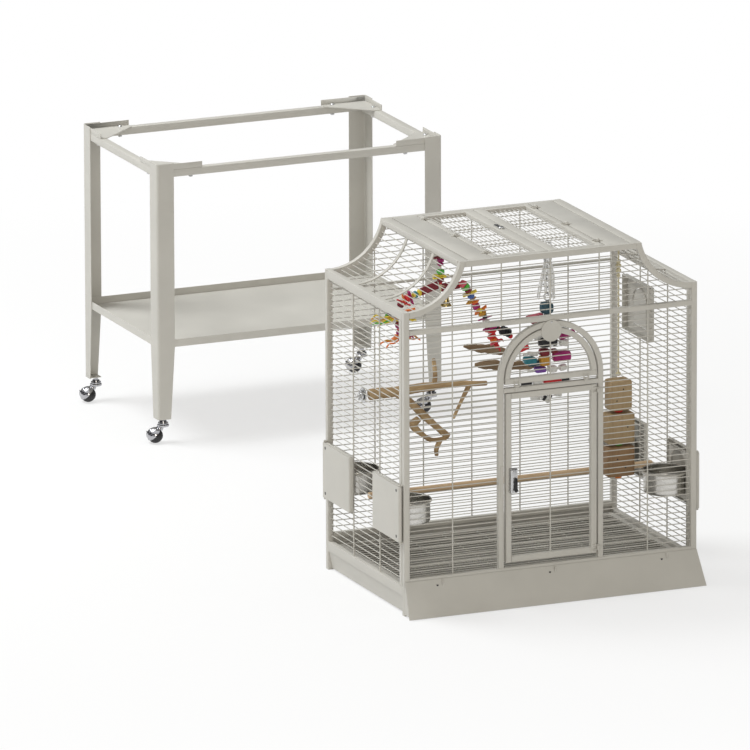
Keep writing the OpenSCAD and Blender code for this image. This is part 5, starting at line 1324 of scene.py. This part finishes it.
def stand():
    for corner, right, back in CORNERS:
        s = Shape(coat, stand_place(right, back))
        s.stack(*((leg_section(z), z) for z in (LEG_TOP, LEG_KINK, LEG_FOOT)))
        s.box(1, 33, 1, 33, LEG_FOOT + 1, LEG_FOOT + 3, 0.4)
        s.box(1, 27, 1, 27, SHELF_Z - 2, SHELF_Z, 0.4)
        piece("stand_leg_" + corner, s, origin=stand_at)
    s = Shape(coat)
    t, z0, z1 = LEG_T, RAIL_TOP - RAIL_S, RAIL_TOP
    for y in (t, STAND_D - t - RAIL_S):
        s.tube("x", t + 1.5, STAND_W - t - 1.5, y, y + RAIL_S, z0, z1)
    for x in (t, STAND_W - t - RAIL_S):
        s.tube("y", t + RAIL_S, STAND_D - t - RAIL_S, x, x + RAIL_S, z0, z1)
    piece("stand_rails", s, origin=stand_at)

    s = Shape(coat)
    e, long, wide = t + 1.5, t + 127, t + 115
    places = []
    for _, right, back in CORNERS:
        s.place = stand_place(right, back)
        s.prism([(e, e), (long, e), (long, t + 20), (t + 20, wide), (e, wide)], "z", RAIL_TOP, RAIL_TOP + 2)
        s.box(e, long, t, t + 2, RAIL_TOP, RAIL_TOP + 15)
        s.box(t, t + 2, e, wide, RAIL_TOP, RAIL_TOP + 15)
        places += [(s.place @ Vector((x, y, RAIL_TOP + 2)), (0, 0, 0.4 * x)) for x, y in BOLT_PLACES]
    piece("corner_gussets", s, origin=stand_at)

    bolt = Shape(zinc)
    bolt.lathe(BOLT, n=28)
    bolt.stack((circle(5.4, 6), -27), (circle(6, 6), -26.4), (circle(6, 6), -22.8), (circle(5.6, 6), -22.2))
    show("gusset_bolts", repeated(bolt, places, stand_at), ROOT, "steel_bright")

    s = Shape(coat_floor)
    rim, top, ease = 2.3, SHELF_Z + SHELF_LIP, 0.4

    def shelf(inset, r):
        return round_rect(rim + inset, STAND_W - rim - inset, rim + inset, STAND_D - rim - inset, r, 6)

    s.stack((shelf(0, 5), SHELF_Z), (shelf(0, 5), top - ease), (shelf(ease, 4.6), top), (shelf(SHEET - ease, 3.9), top),
            (shelf(SHEET, 3.5), top - ease), (shelf(SHEET, 3.5), SHELF_Z + SHEET))
    piece("shelf_tray", s, origin=stand_at)


STEM = [(0, 42.6), (4, 42.6), (4, 48.9), (12.4, 48.9), (13.6, 50.2), (13.8, 52), (13, 53.8), (10.4, 54.9), (9.6, 57.5),
        (4, 58), (4, 66), (0, 66)]
HOOD_COLLAR = [(4.05, 41.6), (12, 41.6), (15.4, 43.4), (15.8, 45.4), (15.4, 47.4), (14, 48.6), (4.05, 48.6),
               (4.05, 41.6)]
HOOD_CAP = [(0, 24.6), (3.4, 24.2), (5.2, 23.2), (5.6, 21.4), (0, 21)]
BRAKE_TAB = ((-6, 21.4), (-6.4, 23.6), (-5, 26.2), (0, 27.2), (5, 26.2), (6.4, 23.6), (6, 21.4))
SHIELD = ((-7, 5), (0, 6.6), (7, 5), (5.4, -1.6), (0, -8), (-5.4, -1.6))
# Angles of the tyre's points, in degrees over the wheel's middle
TYRE = (3 - HOOD_RIM, -6, 0, 8, 16, 24, 32, 40, 48, 54)
WHEEL_CORE = [(2.55, 12.4), (12, 12.4), (12, -1), (2.55, -1), (2.55, 12.4)]
WHEEL_CAP = [(9.5, -13.2), (11.3, -15.2), (10.4, -16.4), (6, -17.6), (2.2, -18.2), (0, -18.3)]


def caster_hood(s, ball):
    """Drawn about the stem; ball is the tilted wheel's place."""
    dome = fan(BALL_R + 2.2, HOOD_RIM, 90, 16)
    s.lathe(dome + fan(BALL_R + 0.6, 90, HOOD_RIM, 16) + dome[:1], ball, 56)
    s.lathe(HOOD_COLLAR, n=40)
    s.path([(-11, 0, 35.5), (-8.4, 0, 40), (-5, 0, 43.5)], [9.5, 9, 8], 20)
    with s.at(ball):
        s.rod((0, 0, -11), (0, 0, 21.4), 2.5, 20)
        s.lathe(HOOD_CAP, n=28)
        with s.at(at((0, 0, 0), ("Y", -20))):
            s.loft([[(x + (z - 21.4) ** 2 * 0.06, v, z) for v, z in BRAKE_TAB] for x in (-1.5, 1.5)])
    for side in (-1, 1):
        out = Vector((-0.72, 0.58 * side, 0.05)).to_track_quat("Z", "Y").to_matrix().to_4x4()
        with s.at(at((-TRAIL, 0, BALL_R)) @ out):
            s.stack((SHIELD, 20.9), (SHIELD, 22.9), ([(u * 0.84, v * 0.84) for u, v in SHIELD], 23.5))
            s.stack(*((round_rect(-2.6, 2.6, -1, 1, 0.6, 2), z) for z in (23.2, 24.2)))


def casters():
    stems = Shape(chrome)
    for corner, right, back in CORNERS:
        at_stem = at((STAND_W - STEM_IN if right else STEM_IN, STAND_D - STEM_IN if back else STEM_IN, 0))
        ball = at((-TRAIL, 0, BALL_R), ("Y", -45))
        with stems.at(at_stem):
            stems.lathe(STEM, n=32)
            stems.stack((circle(7.2, 6), 60), (circle(7.2, 6), 66))
        s = Shape(chrome, at_stem)
        caster_hood(s, ball)
        piece("caster_hood_" + corner, s, "caster_swivel_" + corner, "chrome", origin=stand_at)
        s = Shape(tread, at_stem @ ball)
        tyre = [(BALL_R * cos(radians(a)), -BALL_R * sin(radians(a))) for a in TYRE]
        s.lathe([(12, 3.4)] + tyre + [(11.4, -15.4), (9, -13)], n=56)
        s.lathe(WHEEL_CORE, n=40)
        s.use(zinc)
        s.lathe(WHEEL_CAP, n=40)
        piece("caster_wheel_" + corner, s, "caster_ball_" + corner, "wheel_black", origin=stand_at)
    piece("caster_stems", stems, ROOT, "chrome", origin=stand_at)


for build in (front_and_back_frames, side_frames, coves, roof, arch, front_and_back_wires, side_wires, skirts, tray,
              grate, fixed_hinges, door, latch, window, roof_doors, feeders, nest, perches, branch, block_toy, wood_toy,
              rope_toy, stand, casters):
    build()

# ---- Stage, light and camera ----

def seen_as(tree, *rays):
    """1 for rays of either of two kinds."""
    path = add(tree, "ShaderNodeLightPath")
    kinds = {i: path.outputs[f"Is {ray} Ray"] for i, ray in enumerate(rays)}
    return add(tree, "ShaderNodeMath", kinds, operation="MAXIMUM").outputs[0], path


def pale_floor(share):
    """A floor that looks paler to the camera, more so far out, and keeps its shadows."""
    mat = bpy.data.materials.new("pale floor")
    mat.use_nodes = True
    tree = mat.node_tree
    shader, out = tree.nodes["Principled BSDF"], tree.nodes["Material Output"]
    for key, value in (("Base Color", (0.8, 0.8, 0.8, 1)), ("Roughness", 0.6), ("Specular IOR Level", 0.1)):
        shader.inputs[key].default_value = value
    glow = add(tree, "ShaderNodeEmission", {"Color": (1, 1, 1, 1)})
    where = add(tree, "ShaderNodeTexCoord").outputs["Object"]
    reach = add(tree, "ShaderNodeVectorMath", {0: where}, operation="LENGTH").outputs["Value"]
    far = span(tree, reach, share, 1.0, 1.1, 3.2)
    scaled = add(tree, "ShaderNodeMath", {0: seen_as(tree, "Camera", "Glossy")[0], 1: far}, operation="MULTIPLY")
    mix = add(tree, "ShaderNodeMixShader", {0: scaled.outputs[0], 1: shader.outputs[0], 2: glow.outputs[0]})
    tree.links.new(mix.outputs[0], out.inputs["Surface"])
    return mat


def stage():
    bm = bmesh.new()
    bmesh.ops.create_grid(bm, x_segments=1, y_segments=1, size=40)
    mesh = bpy.data.meshes.new("floor")
    bm.to_mesh(mesh)
    bm.free()
    mesh.materials.append(pale_floor(0.64))
    floor = bpy.data.objects.new("floor", mesh)
    bpy.context.scene.collection.objects.link(floor)

    # White to the camera, a bright room with a dark belt in mirrors, soft fill for the rest
    world = bpy.context.scene.world or bpy.data.worlds.new("studio")
    bpy.context.scene.world = world
    world.use_nodes = True
    tree = world.node_tree
    tree.nodes.clear()
    way = add(tree, "ShaderNodeTexCoord").outputs["Generated"]
    height = add(tree, "ShaderNodeSeparateXYZ", {0: way}).outputs["Z"]
    room = ramp(tree, height, [(0.0, (0.5, 0.5, 0.5)), (0.08, (0.12, 0.12, 0.13)), (0.50, (0.06, 0.06, 0.065)),
                               (0.60, (1.5, 1.5, 1.5)), (0.88, (1.7, 1.7, 1.7))])
    seen, path = seen_as(tree, "Camera", "Transmission")
    # Inputs 6 and 7 and output 2 of a Mix node are its colours
    colours = {0: path.outputs["Is Glossy Ray"], 6: (1, 0.98, 0.93, 1), 7: room}
    tint = add(tree, "ShaderNodeMix", colours, data_type="RGBA").outputs[2]
    fill = add(tree, "ShaderNodeBackground", {"Strength": 0.54, "Color": tint})
    white = add(tree, "ShaderNodeBackground", {"Strength": 1.0, "Color": (1, 1, 1, 1)})
    mix = add(tree, "ShaderNodeMixShader", {0: seen, 1: fill.outputs[0], 2: white.outputs[0]})
    add(tree, "ShaderNodeOutputWorld", {"Surface": mix.outputs[0]})


def lamp(name, place, size, power, color):
    """A soft round lamp that shines on the middle of the set."""
    data = bpy.data.lights.new(name, "AREA")
    data.shape = "DISK"
    data.size = size
    data.energy = power
    data.color = color
    obj = bpy.data.objects.new(name, data)
    obj.location = place
    obj.rotation_euler = (Vector((0, 0, 0.5)) - Vector(place)).to_track_quat("-Z", "Y").to_euler()
    bpy.context.scene.collection.objects.link(obj)


# From the cage's corner in mm; yaw, pitch and roll in degrees
CAMERA_PLACE = (-13357.0, -30884.2, 9335.2)
CAMERA_TURN = (23.325, -14.385, -0.158)
CAMERA_LENS = 672
CAMERA_SHIFT = (-0.0188, -0.0429)


def camera():
    yaw, pitch, roll = (radians(v) for v in CAMERA_TURN)
    forward = Vector((sin(yaw) * cos(pitch), cos(yaw) * cos(pitch), sin(pitch)))
    level = Vector((cos(yaw), -sin(yaw), 0))
    up = level.cross(forward)
    right, up = cos(roll) * level + sin(roll) * up, -sin(roll) * level + cos(roll) * up
    data = bpy.data.cameras.new("camera")
    data.sensor_width = 36
    data.lens = CAMERA_LENS
    data.shift_x, data.shift_y = CAMERA_SHIFT
    data.clip_end = 200
    obj = bpy.data.objects.new("camera", data)
    turn = Matrix((right, up, -forward)).transposed().to_4x4()
    obj.matrix_world = Matrix.Translation(cage_at + Vector(CAMERA_PLACE) * 0.001) @ turn
    bpy.context.scene.collection.objects.link(obj)
    bpy.context.scene.camera = obj


stage()
lamp("key", (-2.7, 1.8, 5.5), 3.0, 325, (0.96, 0.985, 1.0))
lamp("front", (-3.2, -8.6, 3.0), 4.0, 158, (1.0, 0.935, 0.83))
camera()
bpy.context.scene.view_settings.view_transform = "Standard"
